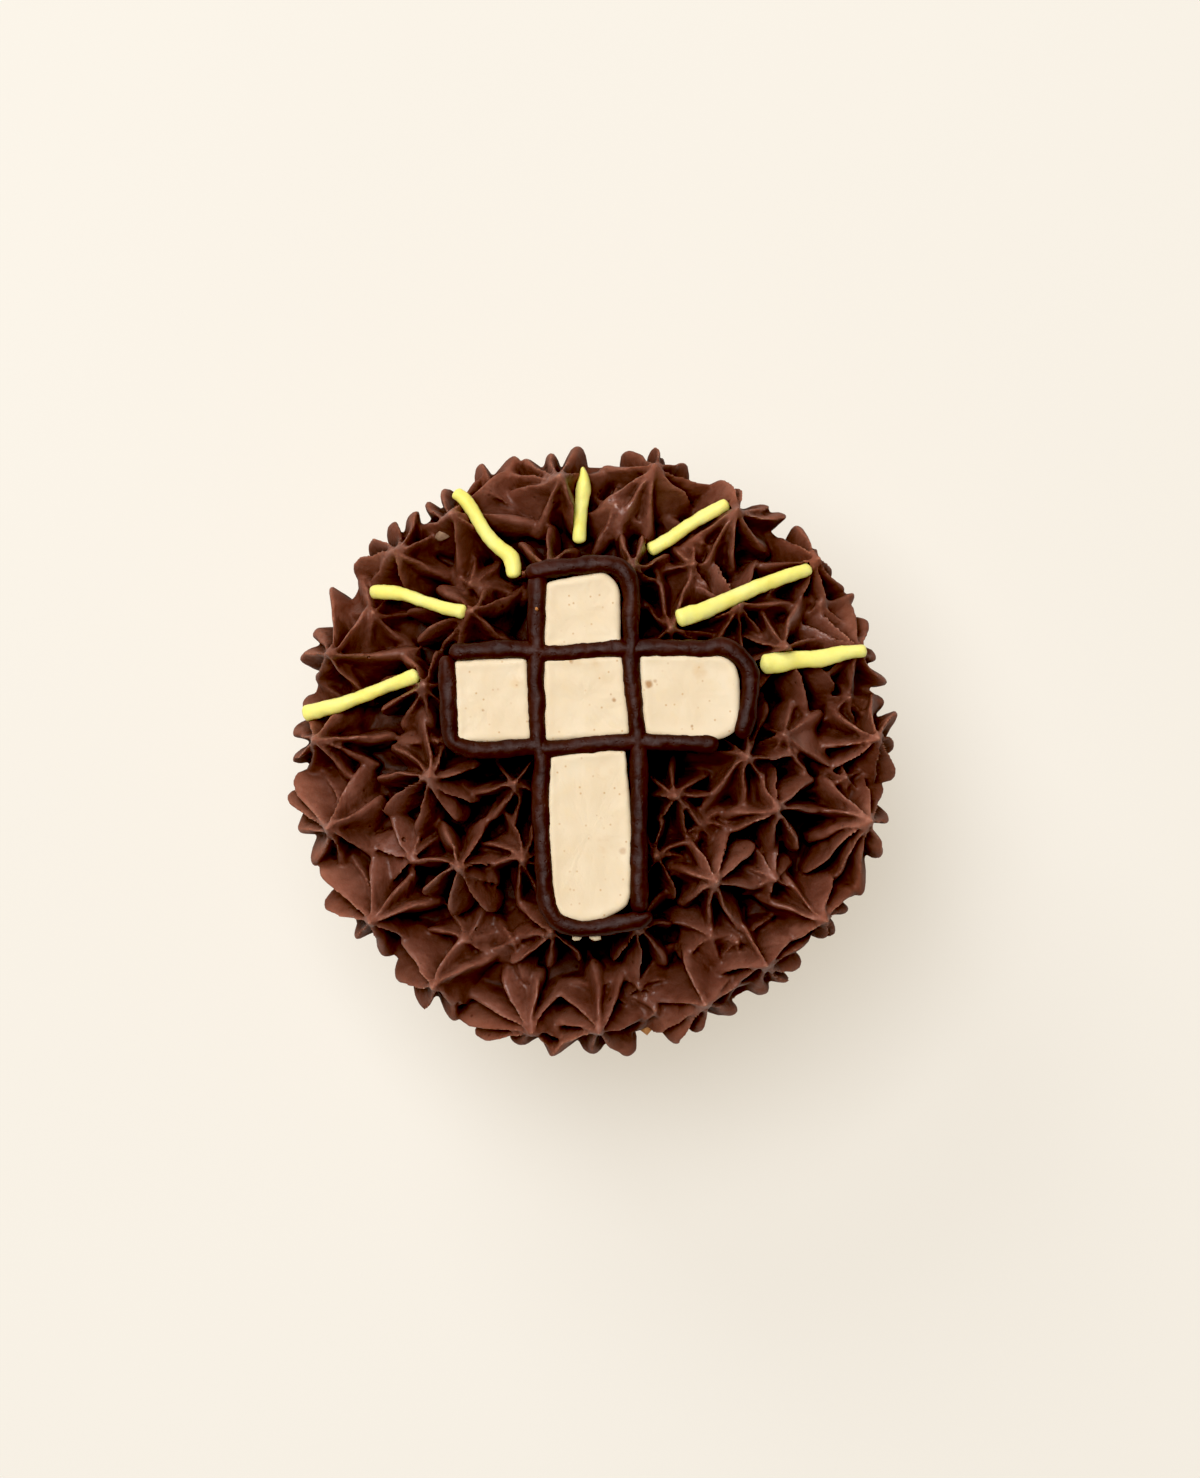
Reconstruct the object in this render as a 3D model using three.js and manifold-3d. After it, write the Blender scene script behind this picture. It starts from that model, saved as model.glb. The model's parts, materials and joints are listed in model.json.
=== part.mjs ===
// A cupcake in a pleated paper case. Its top is covered in star-piped chocolate frosting,
// and a small cross plaque and seven yellow sticks are laid on the frosting.
// Millimetres, +Z up. The origin is the centre of the case's flat base.
import * as THREE from "three";
import { mergeVertices } from "three/addons/utils/BufferGeometryUtils.js";
import Module from "manifold-3d";

// ---------- driving dimensions ----------
const GAP = 0.3; // clearance between neighbouring pieces

const CASE_HEIGHT = 38;
const CASE_BASE_R = 25; // mean outer radius at the foot
const CASE_RIM_R = 35.45; // mean outer radius at the rim
const CASE_WALL = 0.45;
const CASE_FLUTES = 42;
const FLUTE_BASE = 0.14; // half depth of a flute at the foot
const FLUTE_RIM = 0.52; // and at the rim

const CAKE_TOP_Z = 43.6; // crown of the baked dome
const CAKE_EDGE_Z = 40.2; // where the dome meets the rounded edge
const CAKE_EDGE_R = 35.3; // the edge bulges a little over the case's rim

const STAR_R = 7.3; // foot radius of one piped star
const STAR_H = 9.6; // height of one piped star

const PLAQUE_Z = 57.5; // middle height of the cross plaque
const BEAD_W = 2.3; // width of the piped chocolate line
const BEAD_H = 2.1;
const FILL_T = 1.25; // thickness of the cream cells
const STICK_T = 1.7; // thickness of a yellow stick
const STICK_SINK = 0.45; // how far a stick is pressed into the crests

const RAD = Math.PI / 180;
const wasm = await Module();
wasm.setup();

// ---------- solids ----------
function solid(geometry) {
  const g = geometry.index ? geometry.toNonIndexed() : geometry.clone();
  g.deleteAttribute("normal");
  g.deleteAttribute("uv");
  const m = mergeVertices(g, 1e-3);
  return new wasm.Manifold(
    new wasm.Mesh({
      numProp: 3,
      vertProperties: new Float32Array(m.attributes.position.array),
      triVerts: new Uint32Array(m.index.array),
    }),
  );
}

function geometryOf(made) {
  const m = made.getMesh();
  const v = new Float32Array(m.numVert * 3);
  for (let i = 0; i < m.numVert; i++)
    v.set(m.vertProperties.subarray(i * m.numProp, i * m.numProp + 3), i * 3);
  const g = new THREE.BufferGeometry();
  g.setAttribute("position", new THREE.BufferAttribute(v, 3));
  g.setIndex(new THREE.BufferAttribute(new Uint32Array(m.triVerts), 1));
  g.computeVertexNormals();
  return g;
}

// the one largest body of a cut, without loose crumbs
function largest(made) {
  return made.decompose().reduce((a, b) => (a.volume() > b.volume() ? a : b));
}

// a lathe about +Z: profile points are (radius, z), from the low axis point to the high one
function lathe(points, segments) {
  const g = new THREE.LatheGeometry(
    points.map(([r, z]) => new THREE.Vector2(r, z)),
    segments,
  );
  g.rotateX(90 * RAD);
  return g;
}

function warp(geometry, f) {
  const p = geometry.attributes.position;
  const v = new THREE.Vector3();
  for (let i = 0; i < p.count; i++) {
    v.fromBufferAttribute(p, i);
    f(v);
    p.setXYZ(i, v.x, v.y, v.z);
  }
  return geometry;
}

// ---------- the case ----------
// the flutes deepen from the foot to the rim; extra is a clearance added to the wall on both sides
function caseGeometry(extra) {
  const t = extra;
  const out = (z) =>
    CASE_BASE_R + ((CASE_RIM_R - CASE_BASE_R) * z) / CASE_HEIGHT + t;
  const inn = (z) => out(z) - CASE_WALL - 2 * t;
  const top = CASE_HEIGHT + t;
  const g = lathe(
    [
      [0, -t],
      [out(0), -t],
      [out(CASE_HEIGHT), top],
      [inn(CASE_HEIGHT), top],
      [inn(CASE_WALL), CASE_WALL + t],
      [0, CASE_WALL + t],
    ],
    CASE_FLUTES * 2,
  );
  return warp(g, (v) => {
    const r = Math.hypot(v.x, v.y);
    if (r < 1) return;
    const f = Math.min(1, Math.max(0, v.z / CASE_HEIGHT));
    const a = Math.atan2(v.y, v.x);
    const k =
      1 +
      ((FLUTE_BASE + (FLUTE_RIM - FLUTE_BASE) * f) *
        Math.cos(CASE_FLUTES * a)) /
        r;
    v.x *= k;
    v.y *= k;
  });
}

// ---------- the cake ----------
// e is a clearance added outside the cake
function cakeGeometry(e) {
  const slope = (CASE_RIM_R - CASE_BASE_R) / CASE_HEIGHT;
  const inset = FLUTE_RIM + CASE_WALL + GAP + 0.05;
  const side = (z) => CASE_BASE_R + slope * z - inset + e;
  const profile = [
    [0, CASE_WALL + GAP + 0.05 - e],
    [side(0.8), CASE_WALL + GAP + 0.05 - e],
    [side(CASE_HEIGHT - 0.6), CASE_HEIGHT - 0.6],
    [side(CASE_HEIGHT) + 0.1, CASE_HEIGHT + GAP + 0.1 - e],
    [CAKE_EDGE_R - 0.25 + e, CASE_HEIGHT + GAP + 0.45 - e],
    [CAKE_EDGE_R + e, CASE_HEIGHT + GAP + 1.3],
    [CAKE_EDGE_R - 0.7 + e * 0.7, CAKE_EDGE_Z + e * 0.7],
  ];
  for (const f of [0.84, 0.55])
    profile.push([
      (CAKE_EDGE_R - 0.7) * f,
      CAKE_EDGE_Z + (CAKE_TOP_Z - CAKE_EDGE_Z) * (1 - f ** 2.1) + e,
    ]);
  profile.push([0, CAKE_TOP_Z + e]);
  return lathe(profile, 32);
}

// ---------- one piped star ----------
// foot radius r, height h, fins round it. The fins are rounded lobes at the foot and sharp
// crests near the tip, and they turn about the axis by twist from the foot to the tip.
const STAR_PROFILE = [
  [0, -0.4, 0],
  [1.0, 0.1, 0.3],
  [0.62, 0.58, 0.5],
  [0, 1, 0],
];

function star({ at, azimuth, tilt, r, h, fins, phase, twist }) {
  const g = lathe(
    STAR_PROFILE.map(([a, z]) => [a * r, z * h]),
    fins * 2,
  );
  const levels = STAR_PROFILE.map(([, z, d]) => [z * h, d]);
  warp(g, (v) => {
    const rr = Math.hypot(v.x, v.y);
    if (rr < 1e-6) return;
    const depth = levels.find(([z]) => Math.abs(z - v.z) < 1e-4)[1];
    const a = Math.atan2(v.y, v.x);
    const valley = (1 - Math.cos(fins * (a + Math.PI / 2))) / 2;
    const k = rr * (1 - depth * valley);
    const turned = a + phase + (twist * v.z) / h;
    v.x = k * Math.cos(turned);
    v.y = k * Math.sin(turned);
  });
  g.rotateY(tilt);
  g.rotateZ(azimuth);
  g.translate(at.x, at.y, at.z);
  return g;
}

// the frosting under the stars: a low dome that thins to the rim
const coreZ = (r) => 50 - 1.2 * (r / 20) ** 2 - 5.4 * (Math.max(0, r - 16) / 19) ** 1.7;
function coreGeometry() {
  const profile = [[0, 42]];
  profile.push([35.0, 39.6]);
  profile.push([35.6, 41.0]);
  for (const r of [33, 24]) profile.push([r, coreZ(r) - 1.4]);
  profile.push([0, coreZ(0) - 1.6]);
  return lathe(profile, 28);
}

// Each star: the bearing of its tip (degrees from +X), the radius of its tip, and its size
// against the usual one. The rim stars lean outwards, the inner ones stand nearly upright.
const RINGS = [
  {
    fins: 8,
    lean: 24,
    reach: 0.41,
    tips: [
      [77.3, 36.1, 1.0], [59.4, 34.9, 1.0], [40.5, 36.6, 0.98], [20.3, 35.3, 0.97],
      [2.7, 35.8, 1.0], [-14.1, 36.2, 1.02], [-35.6, 35.9, 1.0], [-51.2, 34.2, 1.0],
      [-65.6, 34.5, 0.98], [-88.1, 34.6, 1.04], [-102.3, 35.6, 0.95], [-123.8, 35.2, 1.03],
      [-141.8, 34.5, 1.0], [-163.3, 34.3, 1.0], [177.2, 34.6, 1.02], [159.9, 34.7, 1.03],
      [134.6, 34.8, 1.02], [120.0, 34.2, 1.0], [97.1, 34.7, 1.0],
    ],
  },
  {
    fins: 7,
    lean: 12,
    reach: 0.21,
    tips: [
      [130.6, 22.9, 1.0], [158.9, 22.4, 0.98], [-171.4, 20.2, 1.02], [-139.2, 21.6, 1.0],
      [-102.8, 22.6, 0.98], [-76.3, 22.7, 0.98], [-46.6, 22.0, 1.04], [-17.2, 23.8, 1.02],
      [-0.5, 19.6, 0.94], [42.7, 25.4, 0.9], [57.0, 18.4, 0.9], [103.4, 23.5, 0.96],
      [75.3, 21.4, 0.9], [21.5, 23.0, 0.92],
    ],
  },
  {
    fins: 6,
    lean: 6,
    reach: 0.1,
    tips: [
      [-159.6, 9.9, 0.96], [-27.3, 11.6, 0.98], [-90, 9.4, 0.9], [150, 9.8, 0.9],
      [80, 8.5, 0.9],
    ],
  },
];

function starSolids() {
  const made = [];
  RINGS.forEach(({ fins, lean, reach, tips }, ring) =>
    tips.forEach(([bearing, tipR, size], i) => {
      const a = bearing * RAD;
      const h = STAR_H * size * (ring === 2 ? 0.9 : 1);
      const foot = tipR - reach * h;
      const wobble = Math.sin(12.9 * i + 4.1 * ring);
      made.push(
        solid(
          star({
            at: new THREE.Vector3(
              foot * Math.cos(a),
              foot * Math.sin(a),
              coreZ(foot) - 1.9,
            ),
            azimuth: a,
            tilt: lean * RAD,
            r: STAR_R * size * (ring === 0 ? 0.95 : 1),
            h,
            fins,
            phase: wobble * 0.4,
            twist: 0.35 + 0.2 * Math.cos(7.3 * i),
          }),
        ),
      );
    }),
  );
  return made;
}

// ---------- beads and sticks along a path ----------
// A closed round-ended bead: w(s) and t(s) are its width and thickness at s = 0..1 along the
// curve, and sides is the number of sides of its section. The curve may slope.
function bead(curve, { sides, steps, w, t, flat = 1 }) {
  const length = curve.getLength();
  const cap = Math.min(0.25, (0.5 * w(0)) / length);
  const profile = [[0, 0]];
  for (let i = 0; i <= steps; i++) {
    const s = i / steps;
    profile.push([i === 0 || i === steps ? 0.62 : 1, cap * 0.25 + s * (1 - cap * 0.5)]);
  }
  profile.push([0, 1]);
  const g = lathe(profile, sides);
  const up = new THREE.Vector3(0, 0, 1);
  return warp(g, (v) => {
    const s = Math.min(1, Math.max(0, v.z));
    const at = curve.getPointAt(s);
    const along = curve.getTangentAt(s);
    const side = new THREE.Vector3().crossVectors(up, along).normalize();
    const rise = new THREE.Vector3().crossVectors(along, side);
    const a = v.x * w(s) * 0.5;
    const b = v.y * t(s) * 0.5 * (v.y < 0 ? flat : 1);
    v.copy(at).addScaledVector(side, a).addScaledVector(rise, b);
  });
}

const curveOf = (points) =>
  new THREE.CatmullRomCurve3(
    points.map(([x, y, z]) => new THREE.Vector3(x, y, z)),
    false,
    "centripetal",
  );

// ---------- the cross plaque ----------
// centre lines of the piped chocolate outline, drawn by hand and so a little uneven
const LINES = {
  upright_left: [
    [-6.7, 20.6], [-6.75, 13], [-6.75, 5], [-6.3, -2.5], [-6.0, -12],
    [-5.6, -17.8], [-4.3, -20.4], [-2, -21.6], [1.2, -21.4], [4.4, -20.4], [6.9, -20.1],
  ],
  upright_right: [
    [-7.8, 21.8], [-4, 22.5], [1.6, 22.9], [3.9, 22.1], [4.8, 19.4], [4.8, 14],
    [5.0, 9], [5.6, 2], [5.8, -6], [5.8, -13], [5.8, -19.6],
  ],
  arm_upper: [
    [-17.3, 12.1], [-11, 12.4], [-4, 12.2], [2, 12.6], [8, 12.7], [15.2, 12.8],
    [17.8, 11.9], [19.3, 10], [19.2, 5.6], [18.4, 1.9],
  ],
  arm_lower: [
    [-17.7, 11], [-17.4, 6], [-16.9, 1.6], [-14.6, 0.4], [-8, 0.5], [-2, 0.7],
    [4, 1.2], [9, 1.1], [15.4, 1.0], [17.6, 1.5],
  ],
};

function outlineBeads(grow) {
  return Object.values(LINES).map((points) => {
    const curve = curveOf(points.map(([x, y]) => [x, y, PLAQUE_Z]));
    return solid(
      bead(curve, {
        sides: 6,
        steps: Math.round(curve.getLength() / 4.2),
        w: () => BEAD_W + 2 * grow,
        t: () => BEAD_H + 2 * grow,
      }),
    );
  });
}

// the cells between the lines: corners in order, each rounded by its own radius
const CELLS = {
  cross_fill_top: [
    [-5.1, 20.3, 0.9], [2.9, 20.9, 1.6], [3.2, 14.2, 0.7], [-5.2, 13.9, 0.7],
  ],
  cross_fill_left: [
    [-15.9, 10.7, 0.9], [-8.3, 10.8, 0.7], [-8.1, 2.1, 0.8], [-15.3, 2.1, 0.9],
  ],
  cross_fill_centre: [
    [-5.2, 10.7, 0.7], [3.3, 11.0, 0.8], [4.0, 2.7, 0.8], [-4.9, 2.2, 0.7],
  ],
  cross_fill_right: [
    [6.5, 11.1, 0.8], [17.3, 11.0, 2.6], [17.3, 2.8, 2.4], [7.1, 2.6, 0.8],
  ],
  cross_fill_foot: [
    [-4.5, -1.0, 0.8], [3.9, -0.5, 0.8], [4.2, -18.8, 2.2], [-4.0, -19.2, 2.2],
  ],
};

function cellGeometry(corners) {
  const shape = new THREE.Shape();
  corners.forEach(([x, y, r], i) => {
    const c = new THREE.Vector2(x, y);
    const step = (j) => {
      const [u, v] = corners[(j + corners.length) % corners.length];
      return new THREE.Vector2(u, v).sub(c).setLength(r).add(c);
    };
    const a = step(i - 1);
    const b = step(i + 1);
    if (i) shape.lineTo(a.x, a.y);
    else shape.moveTo(a.x, a.y);
    shape.quadraticCurveTo(c.x, c.y, b.x, b.y);
  });
  const g = new THREE.ExtrudeGeometry(shape, {
    depth: FILL_T - 0.5,
    bevelEnabled: true,
    bevelThickness: 0.25,
    bevelSize: 0.25,
    bevelOffset: -0.25,
    bevelSegments: 1,
    curveSegments: 2,
  });
  g.translate(0, 0, PLAQUE_Z - FILL_T / 2 + 0.25);
  return g;
}

// ---------- the sticks ----------
// plan of each stick: points from its outer to its inner end, then its width at both ends
const STICKS = [
  { plan: [[-35.6, 4.6], [-31.6, 5.6], [-25.1, 8.1], [-21.3, 9.5]], w: [2.1, 1.9] },
  { plan: [[-27.0, 19.7], [-23.4, 19.4], [-18.1, 17.7], [-15.5, 17.2]], w: [1.7, 1.8] },
  { plan: [[-16.9, 32.1], [-14.2, 29.1], [-9.9, 23.9], [-9.5, 21.4]], w: [1.6, 1.9] },
  { plan: [[-1.0, 35.0], [-1.2, 30.9], [-1.5, 25.7]], w: [1.4, 1.8] },
  { plan: [[16.9, 30.7], [12.2, 28.0], [7.0, 24.7]], w: [1.6, 1.8] },
  { plan: [[27.1, 22.6], [20.4, 20.3], [13.4, 17.2], [10.4, 16.3]], w: [1.4, 2.2] },
  { plan: [[33.9, 12.5], [28.2, 11.5], [20.8, 10.7]], w: [1.5, 2.3] },
];

// A stick lies along the highest crests beneath it: the lowest straight slope that clears the
// frosting's surface, less the depth it is pressed in.
function stickCurve({ plan }, surface) {
  const caster = new THREE.Raycaster();
  const down = new THREE.Vector3(0, 0, -1);
  const flat = curveOf(plan.map(([x, y]) => [x, y, 0]));
  const heights = [];
  for (let i = 0; i <= 20; i++) {
    const p = flat.getPointAt(i / 20);
    caster.set(new THREE.Vector3(p.x, p.y, 90), down);
    const hit = caster.intersectObject(surface)[0];
    heights.push(hit ? hit.point.z : 40);
  }
  let best = null;
  for (let outer = 46; outer < 60; outer += 0.1)
    for (let inner = outer; inner < 60; inner += 0.1) {
      const clears = heights.every(
        (z, i) => outer + ((inner - outer) * i) / 20 >= z,
      );
      if (clears && (!best || outer + inner < best[0] + best[1])) {
        best = [outer, inner];
        break;
      }
    }
  const lift = STICK_T / 2 - STICK_SINK;
  return curveOf(
    [0, 0.2, 0.4, 0.6, 0.8, 1].map((s) => {
      const p = flat.getPointAt(s);
      return [p.x, p.y, best[0] + (best[1] - best[0]) * s + lift];
    }),
  );
}

function stickSolid({ w }, curve, grow) {
  return solid(
    bead(curve, {
      sides: 6,
      steps: 5,
      w: (s) => w[0] + (w[1] - w[0]) * s + 2 * grow,
      t: () => STICK_T + 2 * grow,
      flat: 0.8,
    }),
  );
}

// ---------- the frosting ----------
const outline = outlineBeads(0).reduce((a, b) => a.add(b));
const cells = Object.fromEntries(
  Object.entries(CELLS).map(([name, corners]) => [
    name,
    solid(cellGeometry(corners)),
  ]),
);
let frosting = starSolids().reduce((a, b) => a.add(b), solid(coreGeometry()));
const crests = new THREE.Mesh(
  geometryOf(frosting),
  new THREE.MeshStandardMaterial({ side: THREE.DoubleSide }),
);
const curves = STICKS.map((stick) => stickCurve(stick, crests));
// the plaque presses its own flat bed into the tips below it
const bed = [];
for (const corners of Object.values(CELLS)) {
  const x = corners.map((c) => c[0]);
  const y = corners.map((c) => c[1]);
  const box = new THREE.BoxGeometry(
    Math.max(...x) - Math.min(...x) + 3,
    Math.max(...y) - Math.min(...y) + 3,
    6,
  );
  box.translate(
    (Math.max(...x) + Math.min(...x)) / 2,
    (Math.max(...y) + Math.min(...y)) / 2,
    PLAQUE_Z - BEAD_H / 2 - GAP + 3,
  );
  bed.push(solid(box));
}
frosting = frosting
  .subtract(solid(cakeGeometry(GAP)))
  .subtract(solid(caseGeometry(GAP)))
  .subtract([...bed, ...outlineBeads(GAP)].reduce((a, b) => a.add(b)));
STICKS.forEach((stick, i) => {
  frosting = frosting.subtract(stickSolid(stick, curves[i], GAP));
});
frosting = largest(frosting);

// ---------- the scene graph ----------
const finish = (color, roughness) =>
  new THREE.MeshStandardMaterial({ color, roughness, metalness: 0 });
const MATERIALS = {
  paper: finish(0xc79a66, 0.85),
  sponge: finish(0xd8ab68, 0.95),
  frosting: finish(0x4d271b, 0.5),
  chocolate: finish(0x351a14, 0.4),
  cream: finish(0xf7e2ba, 0.6),
  yellow: finish(0xfbec86, 0.5),
};

const group = new THREE.Group();
group.name = "cupcake";
function piece(parent, name, geometry, material) {
  const mesh = new THREE.Mesh(geometry, MATERIALS[material]);
  mesh.name = name;
  parent.add(mesh);
}
const body = new THREE.Group();
const plaque = new THREE.Group();
const rays = new THREE.Group();
group.add(body, plaque, rays);

piece(body, "paper_case", geometryOf(solid(caseGeometry(0))), "paper");
piece(body, "cake", geometryOf(solid(cakeGeometry(0))), "sponge");
piece(body, "frosting", geometryOf(frosting), "frosting");
piece(plaque, "cross_outline", geometryOf(outline), "chocolate");
for (const [name, cell] of Object.entries(cells))
  piece(plaque, name, geometryOf(cell), "cream");
STICKS.forEach((stick, i) =>
  piece(rays, `ray_${i + 1}`, geometryOf(stickSolid(stick, curves[i], 0)), "yellow"),
);

export default group;
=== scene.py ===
import bpy, bmesh, json, math, random
from mathutils import Vector, Matrix, noise
from mathutils.bvhtree import BVHTree

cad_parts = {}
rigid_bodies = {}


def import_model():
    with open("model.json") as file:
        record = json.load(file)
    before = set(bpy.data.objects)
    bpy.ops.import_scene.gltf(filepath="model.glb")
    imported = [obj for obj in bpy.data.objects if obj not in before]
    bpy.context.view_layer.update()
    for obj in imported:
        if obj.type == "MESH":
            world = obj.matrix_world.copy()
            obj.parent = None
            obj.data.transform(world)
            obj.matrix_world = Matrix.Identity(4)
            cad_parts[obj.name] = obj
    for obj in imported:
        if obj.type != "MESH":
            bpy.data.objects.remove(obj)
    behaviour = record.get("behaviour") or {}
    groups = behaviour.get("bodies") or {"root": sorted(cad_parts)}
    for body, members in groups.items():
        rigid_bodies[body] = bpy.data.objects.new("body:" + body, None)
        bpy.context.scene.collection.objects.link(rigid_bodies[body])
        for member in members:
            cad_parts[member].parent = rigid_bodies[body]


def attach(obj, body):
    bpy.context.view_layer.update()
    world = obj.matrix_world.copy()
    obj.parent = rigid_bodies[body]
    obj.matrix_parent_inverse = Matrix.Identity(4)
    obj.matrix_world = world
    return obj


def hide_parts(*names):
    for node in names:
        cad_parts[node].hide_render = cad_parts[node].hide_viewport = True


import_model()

noise.seed_set(11)        # noise_vector is seeded by the clock otherwise

MM = 0.001
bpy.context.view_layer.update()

# ------------------------------------------------------------------ photo frame to object
CAM_H = 900.0            # camera height above the surface, mm
RIM_Z = 45.0             # height at which one photo pixel is PX mm
PX = 0.12438
CX, CY = 591.5, 751.5    # the object's axis in the photo


def P(px, py, z=RIM_Z):
    k = PX * (CAM_H - z) / (CAM_H - RIM_Z)
    return ((px - CX) * k, (CY - py) * k)


# ------------------------------------------------------------------ small helpers
def lerp(a, b, t):
    return a + (b - a) * t


def smooth(a, b, x):
    t = min(1.0, max(0.0, (x - a) / (b - a)))
    return t * t * (3 - 2 * t)


def table(points, x):
    """Smooth interpolation of (x, y) pairs (Catmull-Rom in y)."""
    n = len(points)
    if x <= points[0][0]:
        return points[0][1]
    if x >= points[-1][0]:
        return points[-1][1]
    i = 0
    while points[i + 1][0] < x:
        i += 1
    x0, y0 = points[i]
    x1, y1 = points[i + 1]
    t = (x - x0) / (x1 - x0)
    ym = points[i - 1] if i else (2 * x0 - x1, 2 * y0 - y1)
    yp = points[i + 2] if i + 2 < n else (2 * x1 - x0, 2 * y1 - y0)
    m0 = (y1 - ym[1]) / (x1 - ym[0]) * (x1 - x0)
    m1 = (yp[1] - y0) / (yp[0] - x0) * (x1 - x0)
    t2, t3 = t * t, t * t * t
    return (2 * t3 - 3 * t2 + 1) * y0 + (t3 - 2 * t2 + t) * m0 + (3 * t2 - 2 * t3) * y1 + (t3 - t2) * m1


def make(name, verts, faces, smooth_angle=None):
    me = bpy.data.meshes.new(name)
    me.from_pydata([(x * MM, y * MM, z * MM) for x, y, z in verts], [], faces)
    me.validate()
    me.polygons.foreach_set("use_smooth", [True] * len(me.polygons))
    if smooth_angle:
        me.set_sharp_from_angle(angle=math.radians(smooth_angle))
    ob = bpy.data.objects.new(name, me)
    bpy.context.scene.collection.objects.link(ob)
    return ob


def loft(rings, close_start=None, close_end=None):
    """Quads between equal closed rings of points; optional end points close the ends."""
    verts, faces = [], []
    n = len(rings[0])
    for r in rings:
        verts.extend(r)
    for k in range(len(rings) - 1):
        a, b = k * n, (k + 1) * n
        for i in range(n):
            j = (i + 1) % n
            faces.append((a + i, a + j, b + j, b + i))
    if close_start is not None:
        verts.append(close_start)
        c = len(verts) - 1
        for i in range(n):
            faces.append((c, (i + 1) % n, i))
    if close_end is not None:
        verts.append(close_end)
        c = len(verts) - 1
        a = (len(rings) - 1) * n
        for i in range(n):
            faces.append((c, a + i, a + (i + 1) % n))
    return verts, faces


def apply_modifiers(ob):
    deps = bpy.context.evaluated_depsgraph_get()
    me = bpy.data.meshes.new_from_object(ob.evaluated_get(deps))
    old = ob.data
    ob.modifiers.clear()
    ob.data = me
    bpy.data.meshes.remove(old)
    return ob


def boolean(ob, others, operation):
    col = bpy.data.collections.new("cut")
    bpy.context.scene.collection.children.link(col)
    for o in others:
        for c in list(o.users_collection):
            c.objects.unlink(o)
        col.objects.link(o)
    mod = ob.modifiers.new("b", "BOOLEAN")
    mod.operation = operation
    mod.operand_type = "COLLECTION"
    mod.collection = col
    mod.solver = "MANIFOLD"
    apply_modifiers(ob)
    for o in others:
        me = o.data
        bpy.data.objects.remove(o)
        bpy.data.meshes.remove(me)
    bpy.data.collections.remove(col)
    return ob


def finish_mesh(ob, angle):
    me = ob.data
    me.polygons.foreach_set("use_smooth", [True] * len(me.polygons))
    me.set_sharp_from_angle(angle=math.radians(angle))


def knead(ob, voxel, rounds, limit):
    """Runs overlapping piped pieces together into one creamy skin."""
    mod = ob.modifiers.new("skin", "REMESH")
    mod.mode = "VOXEL"
    mod.voxel_size = voxel * MM
    mod.adaptivity = 0.0
    mod = ob.modifiers.new("soft", "SMOOTH")
    mod.factor = 0.5
    mod.iterations = rounds
    apply_modifiers(ob)
    tris = sum(len(p.vertices) - 2 for p in ob.data.polygons)
    if tris > limit:
        mod = ob.modifiers.new("fewer", "DECIMATE")
        mod.ratio = limit / tris
        apply_modifiers(ob)


def bvh(ob):
    me = ob.data
    return BVHTree.FromPolygons(
        [v.co / MM for v in me.vertices], [tuple(p.vertices) for p in me.polygons])


def top_of(tree, x, y, default=40.0):
    hit = tree.ray_cast(Vector((x, y, 100.0)), Vector((0, 0, -1)))
    return hit[0].z if hit[0] is not None else default


# ------------------------------------------------------------------ materials
def srgb(r, g, b):
    def f(c):
        c /= 255.0
        return c / 12.92 if c <= 0.04045 else ((c + 0.055) / 1.055) ** 2.4
    return (f(r), f(g), f(b), 1.0)


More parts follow.
